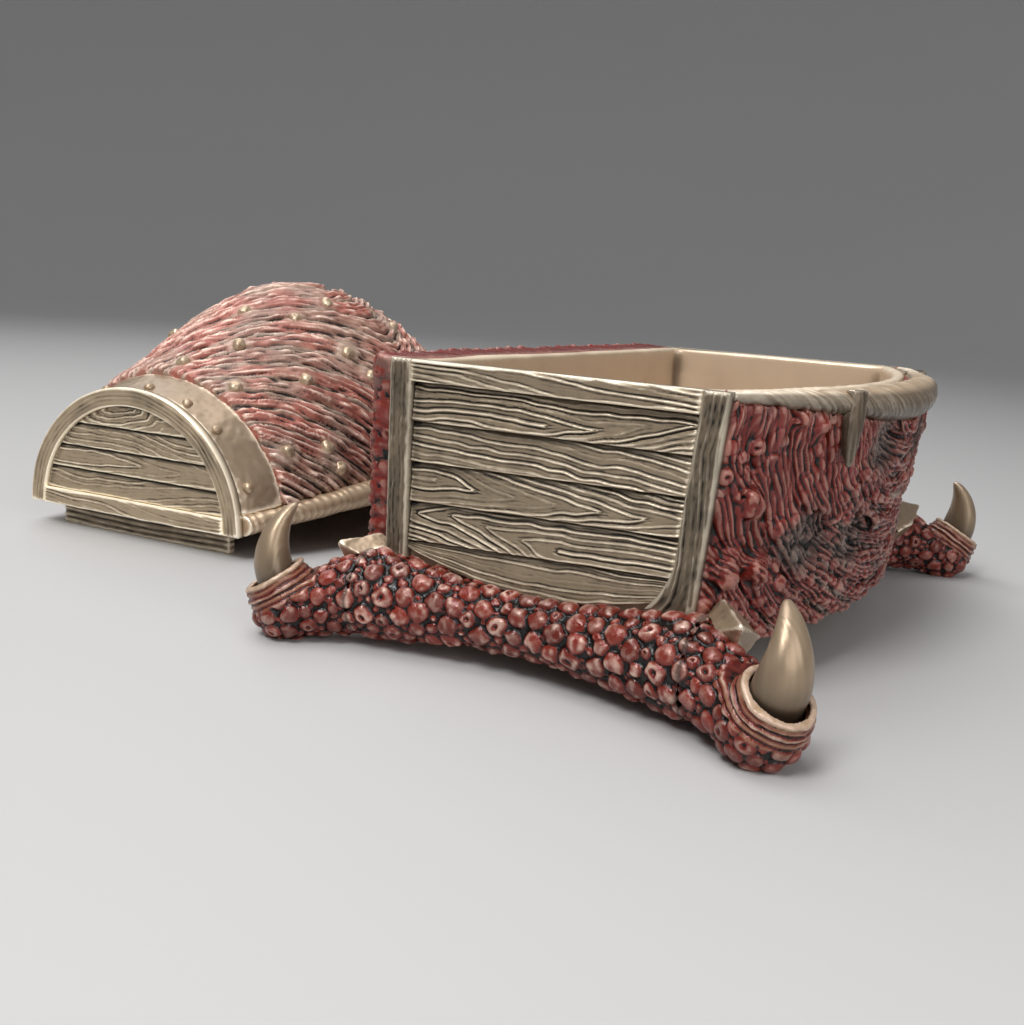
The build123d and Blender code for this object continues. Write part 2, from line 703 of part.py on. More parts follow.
rivet_x = core_half - strap_width * rivet_place_share
rivets = []
for x in (-rivet_x, rivet_x):
    for turn in rivet_turns:
        rivets.append(dome(strap_form, x, turn, rivet_radius))
lid["lid_rivets"] = Compound([rivet.solid() for rivet in rivets])
wart_places = [*zip(low_wart_place_shares, low_wart_turns)]
wart_places += zip(top_wart_place_shares, top_wart_turns)
wart_places += zip(back_wart_place_shares, back_wart_turns)
warts = []
for place_share, turn in wart_places:
    warts.append(dome(hide_form, strap_inner * place_share, turn, wart_radius))
lid["lid_warts"] = Compound([wart.solid() for wart in warts])

for name in [name for name in lid if name.endswith("_left")]:
    lid[name.replace("_left", "_right")] = mirrored(lid[name])

# The lid lies behind the base
lid_place = Pos(lid_right, lid_behind, 0) * Rot(0, 0, lid_turn)
for name, shape in lid.items():
    pieces[name] = lid_place * shape

# The origin is on the table, under the middle of everything
whole = Compound([solid for shape in pieces.values() for solid in shape.solids()]).bounding_box()
to_origin = Pos(-whole.center().X, -whole.center().Y, -whole.min.Z)
os.makedirs("parts", exist_ok=True)
for name, shape in pieces.items():
    export_step(to_origin * shape, f"parts/{name}.step")
print("base's middle", -whole.center().X, -whole.center().Y, "over all", whole.size)
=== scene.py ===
# %% [markdown]
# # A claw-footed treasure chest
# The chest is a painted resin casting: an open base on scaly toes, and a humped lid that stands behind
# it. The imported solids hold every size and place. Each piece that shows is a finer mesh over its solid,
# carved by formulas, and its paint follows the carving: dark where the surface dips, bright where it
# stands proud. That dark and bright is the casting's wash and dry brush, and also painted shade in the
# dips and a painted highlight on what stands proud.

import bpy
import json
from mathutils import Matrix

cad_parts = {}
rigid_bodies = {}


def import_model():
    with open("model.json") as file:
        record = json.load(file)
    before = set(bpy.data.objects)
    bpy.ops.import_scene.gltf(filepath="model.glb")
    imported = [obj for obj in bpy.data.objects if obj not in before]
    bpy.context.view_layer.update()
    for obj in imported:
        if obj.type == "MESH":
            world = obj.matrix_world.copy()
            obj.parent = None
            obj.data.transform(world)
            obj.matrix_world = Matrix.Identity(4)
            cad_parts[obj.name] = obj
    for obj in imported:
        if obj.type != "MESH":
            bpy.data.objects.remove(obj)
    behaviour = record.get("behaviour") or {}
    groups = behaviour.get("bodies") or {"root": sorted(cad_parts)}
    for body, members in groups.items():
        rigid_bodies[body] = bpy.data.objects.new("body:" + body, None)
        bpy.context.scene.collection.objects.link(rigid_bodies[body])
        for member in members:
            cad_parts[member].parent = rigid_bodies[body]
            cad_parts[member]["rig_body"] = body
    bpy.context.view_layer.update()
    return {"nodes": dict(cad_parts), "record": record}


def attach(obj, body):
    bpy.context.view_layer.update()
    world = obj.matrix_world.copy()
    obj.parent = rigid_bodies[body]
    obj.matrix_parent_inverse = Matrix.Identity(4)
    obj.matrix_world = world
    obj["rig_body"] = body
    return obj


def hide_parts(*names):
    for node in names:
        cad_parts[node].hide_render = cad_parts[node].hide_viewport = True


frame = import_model()

# %% [markdown]
# The carving is done on whole arrays of points with numpy, which is quick for a hundred thousand
# vertices. Blender works in metres and a carver thinks in millimetres, so each body gets a frame of its
# own: millimetres from its middle on the table, with the lid's turn taken out. One formula then serves
# the left and right ends.

# %% Frames of the base and the lid
import json
import math

import bmesh
import bpy
import numpy as np
from mathutils import Matrix, Vector
from mathutils.kdtree import KDTree

mm = 0.001
lid_turn = math.radians(4.1)
turn_matrix = np.array(Matrix.Rotation(lid_turn, 3, "Z"))


def read(values, name, width=3):
    """A vertex property of a mesh as an array."""
    found = np.empty(len(values) * width)
    values.foreach_get(name, found)
    return found.reshape(-1, width) if width > 1 else found


def middle_of(*nodes):
    """Middle of some nodes, on the table."""
    points = np.concatenate([read(frame["nodes"][node].data.vertices, "co") for node in nodes])
    return (points.min(0) + points.max(0)) / 2 * (1, 1, 0)


middles = {"base": middle_of("post_front_left", "post_back_right"), "lid": middle_of("lid_tongue")}
turns = {"base": np.eye(3), "lid": turn_matrix}


def body_of(node):
    return frame["nodes"][node]["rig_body"]


def to_own(points, body):
    """Scene points as millimetres in the body's own frame."""
    return (points - middles[body]) @ turns[body] / mm


def to_scene(points, body):
    """Points of the body's own frame as scene points."""
    return points * mm @ turns[body].T + middles[body]


def own_points(node):
    return to_own(read(frame["nodes"][node].data.vertices, "co"), body_of(node))


print("middles", middles)

# %% [markdown]
# Every hand-carved surface wavers a little. Lattice noise does that: random values on the corners of a
# grid, blended smoothly between them. It is worked out from whole numbers, so each run gives the same
# chest.

# %% Noise and easing
def noise(*places, seed=0):
    """Smooth noise from -1 to 1 at up to three coordinates, each in cells of the noise."""
    spots = [np.broadcast_to(np.asarray(place, float), np.broadcast(*places).shape) for place in places]
    while len(spots) < 3:
        spots.append(np.zeros_like(spots[0]))
    cells = [np.floor(spot).astype(np.int64) for spot in spots]
    blends = [(spot - cell) ** 2 * (3 - 2 * (spot - cell)) for spot, cell in zip(spots, cells)]
    total = np.zeros(spots[0].shape)
    for corner in np.ndindex(2, 2, 2):
        mixed = np.full(spots[0].shape, seed * 7919 + 17, np.int64)
        weight = np.ones(spots[0].shape)
        for cell, blend, step, prime in zip(cells, blends, corner, (73856093, 19349663, 83492791)):
            mixed ^= (cell + step) * prime
            weight = weight * (blend if step else 1 - blend)
        mixed = (mixed ^ (mixed >> 13)) * 1274126177
        total += weight * (((mixed ^ (mixed >> 16)) & 0xFFFF) / 0x7FFF - 1)
    return total


def ease(value, start, end):
    """0 before start, 1 after end, smooth between; start may be the larger."""
    share = np.clip((value - start) / (end - start), 0, 1)
    return share * share * (3 - 2 * share)


sample = noise(np.linspace(0, 50, 500))
print("noise spans", sample.min().round(2), sample.max().round(2))

# %% [markdown]
# A solid from the drawing has large faces and hard edges, too few points to carve. Subdividing would keep
# its uneven triangles, so the Remesh modifier lays an even skin of small squares over it instead, and a
# few rounds of smoothing take the sharpness off the edges, as a mould does. The side that shows is
# refined once more.

# %% An even skin over a solid
def skin(node, cell, rounds=4):
    """A finely meshed copy of a node, with squares of about one cell, in millimetres."""
    shape = bmesh.new()
    shape.from_mesh(frame["nodes"][node].data)
    bmesh.ops.remove_doubles(shape, verts=shape.verts, dist=mm / 1000)
    mesh = bpy.data.meshes.new(node)
    shape.to_mesh(mesh)
    shape.free()
    piece = bpy.data.objects.new(f"cast_{node}", mesh)
    bpy.context.scene.collection.objects.link(piece)
    even = piece.modifiers.new("even", "REMESH")
    even.mode = "VOXEL"
    even.voxel_size = cell * mm
    soft = piece.modifiers.new("soft", "SMOOTH")
    soft.iterations = rounds
    done = bpy.data.meshes.new_from_object(piece.evaluated_get(bpy.context.evaluated_depsgraph_get()))
    piece.modifiers.clear()
    piece.data = done
    return piece


def refine(piece, way):
    """Split the squares of a piece that face a way, each into four; the hidden side keeps its larger ones."""
    chosen = np.flatnonzero((read(piece.data.polygons, "normal") * way).sum(1) > 0.05)
    shape = bmesh.new()
    shape.from_mesh(piece.data)
    shape.faces.ensure_lookup_table()
    edges = list({edge for number in chosen for edge in shape.faces[number].edges})
    bmesh.ops.subdivide_edges(shape, edges=edges, cuts=1, use_grid_fill=True)
    bmesh.ops.smooth_vert(
        shape, verts=shape.verts, factor=0.5, use_axis_x=True, use_axis_y=True, use_axis_z=True
    )
    shape.to_mesh(piece.data)
    shape.free()


def surface(piece, body):
    """Points and normals of a piece in the body's own frame."""
    points = to_own(read(piece.data.vertices, "co"), body)
    return points, read(piece.data.vertex_normals, "vector") @ turns[body]


def carve(piece, lift):
    """Move each vertex along its normal by a lift in millimetres, but never under the table."""
    normals = read(piece.data.vertex_normals, "vector")
    points = read(piece.data.vertices, "co") + normals * lift[:, None] * mm
    points[:, 2] = np.maximum(points[:, 2], 0)
    piece.data.vertices.foreach_set("co", points.ravel())
    piece.data.update()


print("skins are carved along their normals, in millimetres")

# %% [markdown]
# The paint on such a casting is a dark wash that stays in the hollows and a pale dry brush that catches
# the ridges. Here the same darkening is also painted shade, and the same brightening a painted highlight.
# Both follow one number: how far a point stands above the mean of its neighbourhood. It is measured on
# the finished mesh, near and wider round, and kept as an attribute for wear and shading; the wider
# round stands in for the shade that gathers in large hollows. Three more attributes carry a tint, extra
# grime and painted shade, and a second ground colour.

# %% Wear and shading, and other marks
def keep(mesh, name, values):
    attribute = mesh.attributes.get(name) or mesh.attributes.new(name, "FLOAT", "POINT")
    attribute.data.foreach_set("value", np.broadcast_to(values, len(mesh.vertices)).astype(np.float32))


def spread_once(mesh, points):
    """Move each point to the mean of its neighbours along the mesh's edges."""
    first, second = read(mesh.edges, "vertices", 2).astype(int).T
    count = np.bincount(first, minlength=len(points)) + np.bincount(second, minlength=len(points))
    total = np.empty_like(points)
    for axis in range(3):
        total[:, axis] = np.bincount(first, points[second, axis], len(points))
        total[:, axis] += np.bincount(second, points[first, axis], len(points))
    return total / count[:, None]


def soften(piece, share, rounds):
    """Even out the part of a piece that a share from 0 to 1 picks."""
    points = read(piece.data.vertices, "co")
    for _ in range(rounds):
        points += (spread_once(piece.data, points) - points) * share[:, None]
    piece.data.vertices.foreach_set("co", points.ravel())
    piece.data.update()


def mark_wear_and_shading(mesh, steps, depth):
    """Keep 0 in hollows, 0.5 on plain surfaces and 1 on ridges, from a near and a wider neighbourhood."""
    points = read(mesh.vertices, "co")
    normals = read(mesh.vertex_normals, "vector")
    spread = points
    wear_and_shading = np.full(len(points), 0.5)
    # Low values give the wash and painted shade, high values the dry brush and a painted highlight.
    for step in range(steps * 4):
        spread = spread_once(mesh, spread)
        if step + 1 in (steps, steps * 4):
            full = depth if step < steps else depth * 2.2
            wear_and_shading += ((points - spread) * normals).sum(1) / mm / full / 2
    keep(mesh, "wear_and_shading", np.clip(wear_and_shading, 0, 1))


def finish_piece(piece, node, paint, steps=4, depth=0.2, tint=0.5, grime_and_shade=0.0, second=0.0):
    """Smooth, mark, paint and mount a piece that stands for a node."""
    mesh = piece.data
    mesh.polygons.foreach_set("use_smooth", np.ones(len(mesh.polygons), bool))
    mark_wear_and_shading(mesh, steps, depth)
    keep(mesh, "tint", tint)
    keep(mesh, "grime_and_shade", grime_and_shade)
    keep(mesh, "second", second)
    mesh.materials.clear()
    mesh.materials.append(paints[paint])
    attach(piece, body_of(node))
    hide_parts(node)


print("marks for the paint: wear, tint, grime and second")

# %% [markdown]
# One shader group does the washing and dry brushing for every finish, and with them the painted shade in
# the hollows and the painted highlight on the ridges. It reads the four attributes, breaks their edges
# with noise, and gives a colour, a roughness and a height for the bump. Each finish places the group
# with its own colours, so the whole chest looks painted by one hand.

# %% The shader group
def add(tree, kind, **inputs):
    """A new node with some of its inputs set or linked; a key may be a socket's name or number."""
    made = tree.nodes.new(kind)
    for key, value in inputs.items():
        socket = made.inputs[int(key[1:]) if key[1:].isdigit() else key.replace("_", " ")]
        if isinstance(value, bpy.types.NodeSocket):
            tree.links.new(value, socket)
        else:
            socket.default_value = value
    return made


def blend_colours(tree, share, first, second):
    mix = tree.nodes.new("ShaderNodeMix")
    mix.data_type = "RGBA"
    for number, value in ((0, share), (6, first), (7, second)):
        tree.links.new(value, mix.inputs[number])
    return mix.outputs[2]


def sums(tree, operation, first, second):
    made = add(tree, "ShaderNodeMath", n0=first, n1=second)
    made.operation = operation
    return made.outputs[0]


def between(tree, value, start, end):
    made = add(tree, "ShaderNodeMapRange", n0=value, n1=start, n2=end)
    made.interpolation_type = "SMOOTHSTEP"
    return made.outputs[0]


def wash_and_shading_group():
    tree = bpy.data.node_groups.new("wash_dry_brush_and_shading", "ShaderNodeTree")
    for name in ("Deep", "Ground", "Second", "Bright"):
        tree.interface.new_socket(name, in_out="INPUT", socket_type="NodeSocketColor")
    usual = {"Blotch Size": 300.0, "Blotch": 0.3, "Brush": 0.8, "Rough": 0.45, "Grain Size": 4000.0}
    for name, value in usual.items():
        tree.interface.new_socket(name, in_out="INPUT", socket_type="NodeSocketFloat").default_value = value
    tree.interface.new_socket("Color", in_out="OUTPUT", socket_type="NodeSocketColor")
    for name in ("Roughness", "Height"):
        tree.interface.new_socket(name, in_out="OUTPUT", socket_type="NodeSocketFloat")
    given = tree.nodes.new("NodeGroupInput").outputs
    out = tree.nodes.new("NodeGroupOutput").inputs
    marks = {}
    for name in ("wear_and_shading", "tint", "grime_and_shade", "second"):
        reader = tree.nodes.new("ShaderNodeAttribute")
        reader.attribute_name = name
        marks[name] = reader.outputs["Fac"]
    place = tree.nodes.new("ShaderNodeTexCoord").outputs["Object"]
    blotch = add(tree, "ShaderNodeTexNoise", Vector=place, Scale=given["Blotch Size"], Detail=4.0).outputs[0]
    grain = add(tree, "ShaderNodeTexNoise", Vector=place, Scale=given["Grain Size"], Detail=2.0).outputs[0]
    shift = sums(tree, "MULTIPLY", sums(tree, "SUBTRACT", blotch, 0.5), given["Blotch"])
    # worn follows the wear and shading mark: real wear, and also painted shade and painted highlight.
    worn = sums(tree, "ADD", marks["wear_and_shading"], shift)
    worn = sums(tree, "ADD", worn, sums(tree, "MULTIPLY", sums(tree, "SUBTRACT", grain, 0.5), 0.12))
    # The mix towards Deep is the wash and painted shade, deepened by the grime and shade mark.
    clear_of_wash_and_shade = sums(tree, "SUBTRACT", between(tree, worn, 0.18, 0.52), marks["grime_and_shade"])
    clear_of_wash_and_shade = sums(tree, "MAXIMUM", clear_of_wash_and_shade, 0.0)
    # The mix towards Bright is the dry brush and a painted highlight.
    brush_and_highlight = sums(tree, "MULTIPLY", between(tree, worn, 0.6, 0.95), given["Brush"])
    brush_and_highlight = sums(tree, "MULTIPLY", brush_and_highlight, sums(tree, "SUBTRACT", 1.0, marks["grime_and_shade"]))
    ground = blend_colours(tree, marks["second"], given["Ground"], given["Second"])
    colour = blend_colours(tree, clear_of_wash_and_shade, given["Deep"], ground)
    colour = blend_colours(tree, brush_and_highlight, colour, given["Bright"])
    value = sums(tree, "ADD", 0.6, sums(tree, "MULTIPLY", marks["tint"], 0.8))
    value = sums(tree, "ADD", value, sums(tree, "MULTIPLY", shift, 0.6))
    toned = add(tree, "ShaderNodeHueSaturation", Value=value, Color=colour)
    tree.links.new(toned.outputs[0], out["Color"])
    dull = sums(tree, "MULTIPLY", sums(tree, "SUBTRACT", 0.55, worn), 0.35)
    tree.links.new(sums(tree, "ADD", given["Rough"], dull), out["Roughness"])
    tree.links.new(sums(tree, "ADD", grain, sums(tree, "MULTIPLY", blotch, 1.5)), out["Height"])
    return tree


wash_and_shading = wash_and_shading_group()
print("shader group", wash_and_shading.name, "with", len(wash_and_shading.nodes), "nodes")

# %% [markdown]
# Six finishes cover the chest: old wood in bronze paint, brick-red scales, dark red sinew and a paler,
# drier one for the lid, pearly bronze on claws and lips, and the tan paint inside. Each has four colours,
# picked and held against the photo's tones: the wash and painted shade in the hollows, the ground, a
# second ground for patches, and the dry brush and painted highlight.

# %% The finishes
def colour_of(red, green, blue):
    """A colour as a screen counts it, from 0 to 255, as linear light."""
    return [((part / 255 + 0.055) / 1.055) ** 2.4 for part in (red, green, blue)] + [1.0]


def finish(name, deep, ground, second, bright, metallic, bump, **values):
    made = bpy.data.materials.new(name)
    made.use_nodes = True
    tree = made.node_tree
    shader = tree.nodes["Principled BSDF"]
    shader.inputs["Metallic"].default_value = metallic
    group = tree.nodes.new("ShaderNodeGroup")
    group.node_tree = wash_and_shading
    for socket, value in (("Deep", deep), ("Ground", ground), ("Second", second), ("Bright", bright)):
        group.inputs[socket].default_value = colour_of(*value)
    for socket, value in values.items():
        group.inputs[socket.replace("_", " ")].default_value = value
    tree.links.new(group.outputs["Color"], shader.inputs["Base Color"])
    tree.links.new(group.outputs["Roughness"], shader.inputs["Roughness"])
    raised = add(tree, "ShaderNodeBump", Strength=bump, Distance=0.2 * mm, Height=group.outputs["Height"])
    tree.links.new(raised.outputs[0], shader.inputs["Normal"])
    return made


paints = {}
paints["bronze_wood"] = finish(
    "bronze_wood", (30, 24, 18), (142, 126, 104), (104, 90, 72), (238, 224, 200), 0.3, 0.35,
    Blotch_Size=260.0, Blotch=0.3, Brush=0.95, Rough=0.38, Grain_Size=5000.0,
)
paints["red_scale"] = finish(
    "red_scale", (13, 9, 7), (132, 48, 36), (190, 158, 124), (252, 220, 200), 0.1, 0.45,
    Blotch_Size=420.0, Blotch=0.35, Brush=0.7, Rough=0.17, Grain_Size=3000.0,
)
paints["red_sinew"] = finish(
    "red_sinew", (10, 8, 8), (134, 46, 38), (122, 109, 100), (238, 196, 176), 0.1, 0.35,
    Blotch_Size=380.0, Blotch=0.4, Brush=0.28, Rough=0.24, Grain_Size=4600.0,
)
paints["faded_sinew"] = finish(
    "faded_sinew", (34, 28, 25), (156, 92, 79), (146, 128, 112), (246, 220, 202), 0.1, 0.4,
    Blotch_Size=300.0, Blotch=0.5, Brush=0.6, Rough=0.42, Grain_Size=3200.0,
)
paints["smooth_bronze"] = finish(
    "smooth_bronze", (44, 35, 27), (158, 137, 113), (108, 94, 78), (248, 232, 208), 0.45, 0.12,
    Blotch_Size=180.0, Blotch=0.3, Brush=0.9, Rough=0.34, Grain_Size=6000.0,
)
paints["tan_inside"] = finish(
    "tan_inside", (92, 76, 60), (180, 160, 137), (150, 122, 96), (252, 234, 208), 0.2, 0.08,
    Blotch_Size=90.0, Blotch=0.25, Brush=0.9, Rough=0.4, Grain_Size=5000.0,
)
print("finishes", list(paints))

# %% [markdown]
# The plank ends are carved wood in low relief: thin raised grain lines with a groove beside them. Image
# textures aren't needed, because grain is a contour map. A field is made over the plank, and wherever it
# passes a whole number there is a line. Its slope turns the field into millimetres, so all lines are
# equally wide.

# %% Grain lines
line_width = 0.22
line_height = 0.32


def grain(field, along_step, across_step, seed=0):
    """Raised lines where a field passes whole numbers, in millimetres of lift."""
    rise, run = np.gradient(field)
    slope = np.hypot(rise / across_step, run / along_step) + 0.001
    part = field - np.floor(field)
    after = part / slope
    before = (1 - part) / slope
    strength = 0.7 + 0.5 * noise(np.floor(field + 0.5) * 3.7, seed=seed)
    crest = np.exp(-((np.minimum(after, before) / line_width) ** 2))
    groove = np.exp(-(((after - 2 * line_width) / line_width) ** 2))
    groove += 0.3 * np.exp(-(((before - 2 * line_width) / line_width) ** 2))
    return line_height * strength * (crest - 0.8 * groove)


print("line width", line_width, "line height", line_height)

# %% [markdown]
# A plank is flat, so it needs no remeshing. A plate is a grid of points laid out over its front by a
# plan, which turns two shares, along and across, into a place. A relief then lifts the points, and a rim
# of walls closes the plate behind. The same function serves planks, posts and the arches of the lid.

# %% Carved plates
edge_round = 0.7


def plate(node, plan, relief, along_pitch=0.25, across_pitch=0.18, tint=0.58, depth=0.26):
    """A carved plate over a flat piece of an end: plan gives its outline, relief the lift and the dark share,
    dirt and painted shade.
    """
    body = body_of(node)
    own = own_points(node)
    side = np.sign(own[:, 0].mean())
    outside = np.abs(own[:, 0]).max()
    inside = np.abs(own[:, 0]).min()
    sweep = np.stack(plan(np.linspace(0, 1, 60), np.full(60, 0.5)), 1)
    length = np.linalg.norm(np.diff(sweep, axis=0), axis=1).sum()
    low_edge, high_edge = (np.stack(plan(np.array(0.5), np.array(across))) for across in (0, 1))
    width = np.linalg.norm(high_edge - low_edge)
    columns = int(length / along_pitch) + 2
    rows = int(width / across_pitch) + 2
    along, across = np.meshgrid(np.linspace(0, 1, columns), np.linspace(0, 1, rows))
    y, z = plan(along, across)
    lift, grime_and_shade = relief(along, across, y, z, length / (columns - 1), width / (rows - 1))
    border = np.minimum(along, 1 - along) * length
    border = np.minimum(border, np.minimum(across, 1 - across) * width)
    lift = lift - edge_round / 2 * (1 - np.clip(border / edge_round, 0, 1)) ** 2
    front = np.stack((side * (outside + lift), y, z), -1).reshape(-1, 3)
    number = np.arange(rows * columns).reshape(rows, columns)
    ring = np.concatenate((number[0], number[1:, -1], number[-1, -2::-1], number[-2:0:-1, 0]))
    back = front[ring] * (0, 1, 1) + (side * inside, 0, 0)
    squares = np.stack((number[:-1, :-1], number[:-1, 1:], number[1:, 1:], number[1:, :-1]), -1)
    behind = len(front) + np.arange(len(ring))
    walls = np.stack((ring, behind, np.roll(behind, -1), np.roll(ring, -1)), -1)
    mesh = bpy.data.meshes.new(node)
    faces = squares.reshape(-1, 4).tolist() + walls.tolist() + [behind.tolist()]
    mesh.from_pydata(to_scene(np.concatenate((front, back)), body).tolist(), [], faces)
    tidy = bmesh.new()
    tidy.from_mesh(mesh)
    bmesh.ops.recalc_face_normals(tidy, faces=tidy.faces)
    tidy.to_mesh(mesh)
    tidy.free()
    piece = bpy.data.objects.new(f"carved_{node}", mesh)
    bpy.context.scene.collection.objects.link(piece)
    # The plate's walls, in the gaps between boards, are painted dark as shade.
    dark = np.concatenate((grime_and_shade.ravel(), np.full(len(ring), 0.8)))
    finish_piece(piece, node, "bronze_wood", steps=3, depth=depth, tint=tint, grime_and_shade=dark)


print("edges of plates are rounded over", edge_round, "mm")

# %% [markdown]
# Boards and posts take their plan from the four corners of their solids, so a plate always lies where its
# solid does. A plan can sag between its lower corners, and it can flare at one of them.

# %% The plan of a slab
def corner_plan(node, upright=False, sag=0.0, flare=0.0):
    """The outline of a slab with four corners: along runs to the front and across up, or the reverse."""
    flat = own_points(node)[:, 1:]
    far_low, near_low, far_high, near_high = (
        flat[np.argmax(flat @ way)] for way in ((1, -1), (-1, -1), (1, 1), (-1, 1))
    )

    def plan(along, across):
        if upright:
            along, across = across, along
        to_near = along[..., None]
        up = across[..., None]
        spot = (far_low * (1 - to_near) + near_low * to_near) * (1 - up)
        spot = spot + (far_high * (1 - to_near) + near_high * to_near) * up
        drop = sag * (1 - (2 * along - 1) ** 2) * (1 - across)
        swell = flare * (1 - along) * np.clip(1 - across * 4, 0, 1) ** 2
        return spot[..., 0] + swell, spot[..., 1] - drop

    return plan


print("slabs are planned from their four corners")

# %% [markdown]
# Each plank of an end has its own figure, as cut boards do: tongues of nested grain that point to the
# front, or slanting lines, or lines that follow the scalloped edge. The lower edge of each plank stands
# proud over the next one, which leaves the dark steps between them. Painted shade darkens the upper edge
# of each plank, under the one above, and a painted shadow darkens its back end.

# %% Figures and reliefs of boards
def tongues(s, v, first, step, lines, middle):
    """Nested tongues of grain that point to the front: their tips start at a share and follow by steps."""
    return np.maximum(s - first, 0) / step + lines * np.abs(v - middle) ** 1.25


board_figures = {
    "plank_1": lambda s, v: tongues(s, v, 0.5, 0.165, 2.8, 0.7 * ease(s, 0.6, 1.0) - 0.35),
    "plank_2": lambda s, v: 2.5 * v + 3.4 * s**1.4,
    "plank_3": lambda s, v: tongues(s, v, 0.1, 0.155, 2.6, 0.15 - 0.5 * s),
    "plank_4": lambda s, v: tongues(1 - s, v, 0.4, 0.14, 2.6, 0.55 - 1.1 * ease(s, 0.15, 0.6)),
    "plank_scalloped": lambda s, v: 2.2 * v + 0.4 * np.cos(5 * s + 1),
    "top_rail": lambda s, v: 1.5 * v + 3.0 * s + 0.8 * np.cos(6 * s) * v,
}


def board_relief(figure, seed, lap, shade, strength=1.0):
    """Relief of a plank: its figure, wavering, with a proud lower edge, painted shade along the upper one and
    a painted shadow at the back end.
    """

    def relief(along, across, y, z, along_step, across_step):
        v = across * 2 - 1
        waver = 0.17 * noise(along * 6, v * 0.8, seed=seed)
        waver = waver + 0.07 * noise(along * 17, v * 1.5, seed=seed + 1)
        lines = grain(figure(along, v + waver), along_step, across_step, seed)
        fibre = 0.05 * noise(along * 16, across * 20, seed=seed + 2)
        fibre = fibre + 0.03 * noise(along * 60, across * 12, seed=seed + 3)
        lift = strength * lines + fibre + lap * ((1 - across) ** 1.5 - 0.45)
        # Painted shade along the upper edge and a painted shadow at the back end.
        grime_and_shade = shade * ease(across, 0.8, 1.0) + 0.6 * shade * ease(along, 0.05, 0.0)
        return lift, np.clip(grime_and_shade, 0, 1)

    return relief


def post_relief(seed, straight):
    """Relief of a post: long lines up its length."""

    def relief(along, across, y, z, along_step, across_step):
        v = across * 2 - 1
        bend = noise(along * 3, seed=seed) * (0.15 if straight else 0.45)
        field = (2.2 if straight else 1.9) * (v + bend + 0.1 * noise(along * 15, v, seed=seed + 1))
        field = field + (0.5 if straight else 2.6) * along
        lift = grain(field, along_step, across_step, seed) * (0.4 if straight else 0.55)
        rough = 0.09 * noise(along * 30, across * 9, seed=seed + 2)
        return lift + rough, 0.3 * ease(noise(along * 9, across * 2, seed=seed + 3), 0.0, 0.6)

    return relief


print("figures for", list(board_figures))

# %% [markdown]
# The same boards make both ends of the base. The lowest one is scalloped: its corners lie a little above
# the feet of the posts, and its edge sags between them. The front post flares at its foot, as the real
# one does.

# %% End panels of the base
scallop_rise = 2.5
post_flare = 4.5
for side in ("left", "right"):
    for number, (board, figure) in enumerate(board_figures.items()):
        node = f"{board}_{side}"
        sag = 0.0
        if board == "plank_scalloped":
            levels = own_points(node)[:, 2]
            sag = own_points(f"post_front_{side}")[:, 2].min() + scallop_rise - levels.min()
        # All boards but the top rail get painted shade along their upper edges.
        lap, shade = (0.2, 0.0) if board == "top_rail" else (0.75, 0.9)
        relief = board_relief(figure, number * 10 + len(side), lap, shade)
        plate(node, corner_plan(node, sag=sag), relief)
    post = f"post_front_{side}"
    plate(post, corner_plan(post, upright=True, flare=post_flare), post_relief(3, False), tint=0.02)
    post = f"post_back_{side}"
    plate(post, corner_plan(post, upright=True), post_relief(5, True), tint=0.08)
print("end panels carved")

# %% [markdown]
# The rolls and toes are covered with pebbles that crowd each other. Modelling each pebble would give
# loose pieces, so the skin itself is pushed out. Seeds are scattered with the big ones first, so that
# small ones fill the gaps. Each point finds its nearest seed and rises as a dome round it, and some domes
# have a dimple.

# %% Pebbles
pebble_sink = 0.6


def scatter(points, least, most, seed, crowd=0.84, tries=9000, row=(), given=None):
    """Places and radii of pebbles: given ones, a row, then large ones first, none too near another."""
    draw = np.random.default_rng(seed)
    order = np.concatenate((np.array(row, int), draw.permutation(len(points))[:tries]))
    radii = np.sort(least + (most - least) * draw.random(len(order)) ** 1.5)[::-1]
    old_places, old_radii = given or (np.empty((0, 3)), np.empty(0))
    places = np.concatenate((old_places, np.empty((len(order), 3))))
    kept = np.concatenate((old_radii, np.empty(len(order))))
    count = len(old_radii)
    for index, radius in zip(order, radii):
        apart = np.linalg.norm(places[:count] - points[index], axis=1)
        if (apart > (kept[:count] + radius) * crowd).all():
            places[count] = points[index]
            kept[count] = radius
            count += 1
    return places[:count], kept[:count]


def pebbles(points, places, radii, seed, height=0.62, dimples=0.22):
    """Lift, tint and crack share of a surface covered with round pebbles."""
    tints = np.random.default_rng(seed).random(len(places))
    dimpled = np.random.default_rng(seed + 1).random(len(places)) < dimples
    nearest = np.empty(len(points), int)
    reach = np.empty(len(points))
    for start in range(0, len(points), 4000):
        part = slice(start, start + 4000)
        apart = np.linalg.norm(points[part, None] - places[None], axis=2) / radii
        nearest[part] = apart.argmin(1)
        reach[part] = apart.min(1)
    lift = radii[nearest] * height * np.sqrt(1 - np.clip(reach, 0, 1) ** 2)
    lift -= radii[nearest] * 0.4 * dimpled[nearest] * np.exp(-((reach / 0.2) ** 2))
    # Cracks between pebbles and the pits of dimples are painted dark: a wash, and painted shade.
    crack = np.maximum(ease(reach, 0.84, 1.0), dimpled[nearest] * ease(reach, 0.16, 0.06))
    return lift, tints[nearest], crack


def distance(points, node):
    """Millimetres from each point to the nearest corner of a node's solid."""
    tree = KDTree(len(own_points(node)))
    for number, corner in enumerate(own_points(node)):
        tree.insert(corner, number)
    tree.balance()
    return np.array([tree.find(point)[2] for point in points])


def warped(points):
    """Points pushed about a little, so that pebbles aren't quite round."""
    return points + 0.5 * np.stack([noise(*(points.T / 1.9), seed=axis) for axis in (1, 2, 3)], 1)


print("pebbles start", pebble_sink, "mm under the skin")
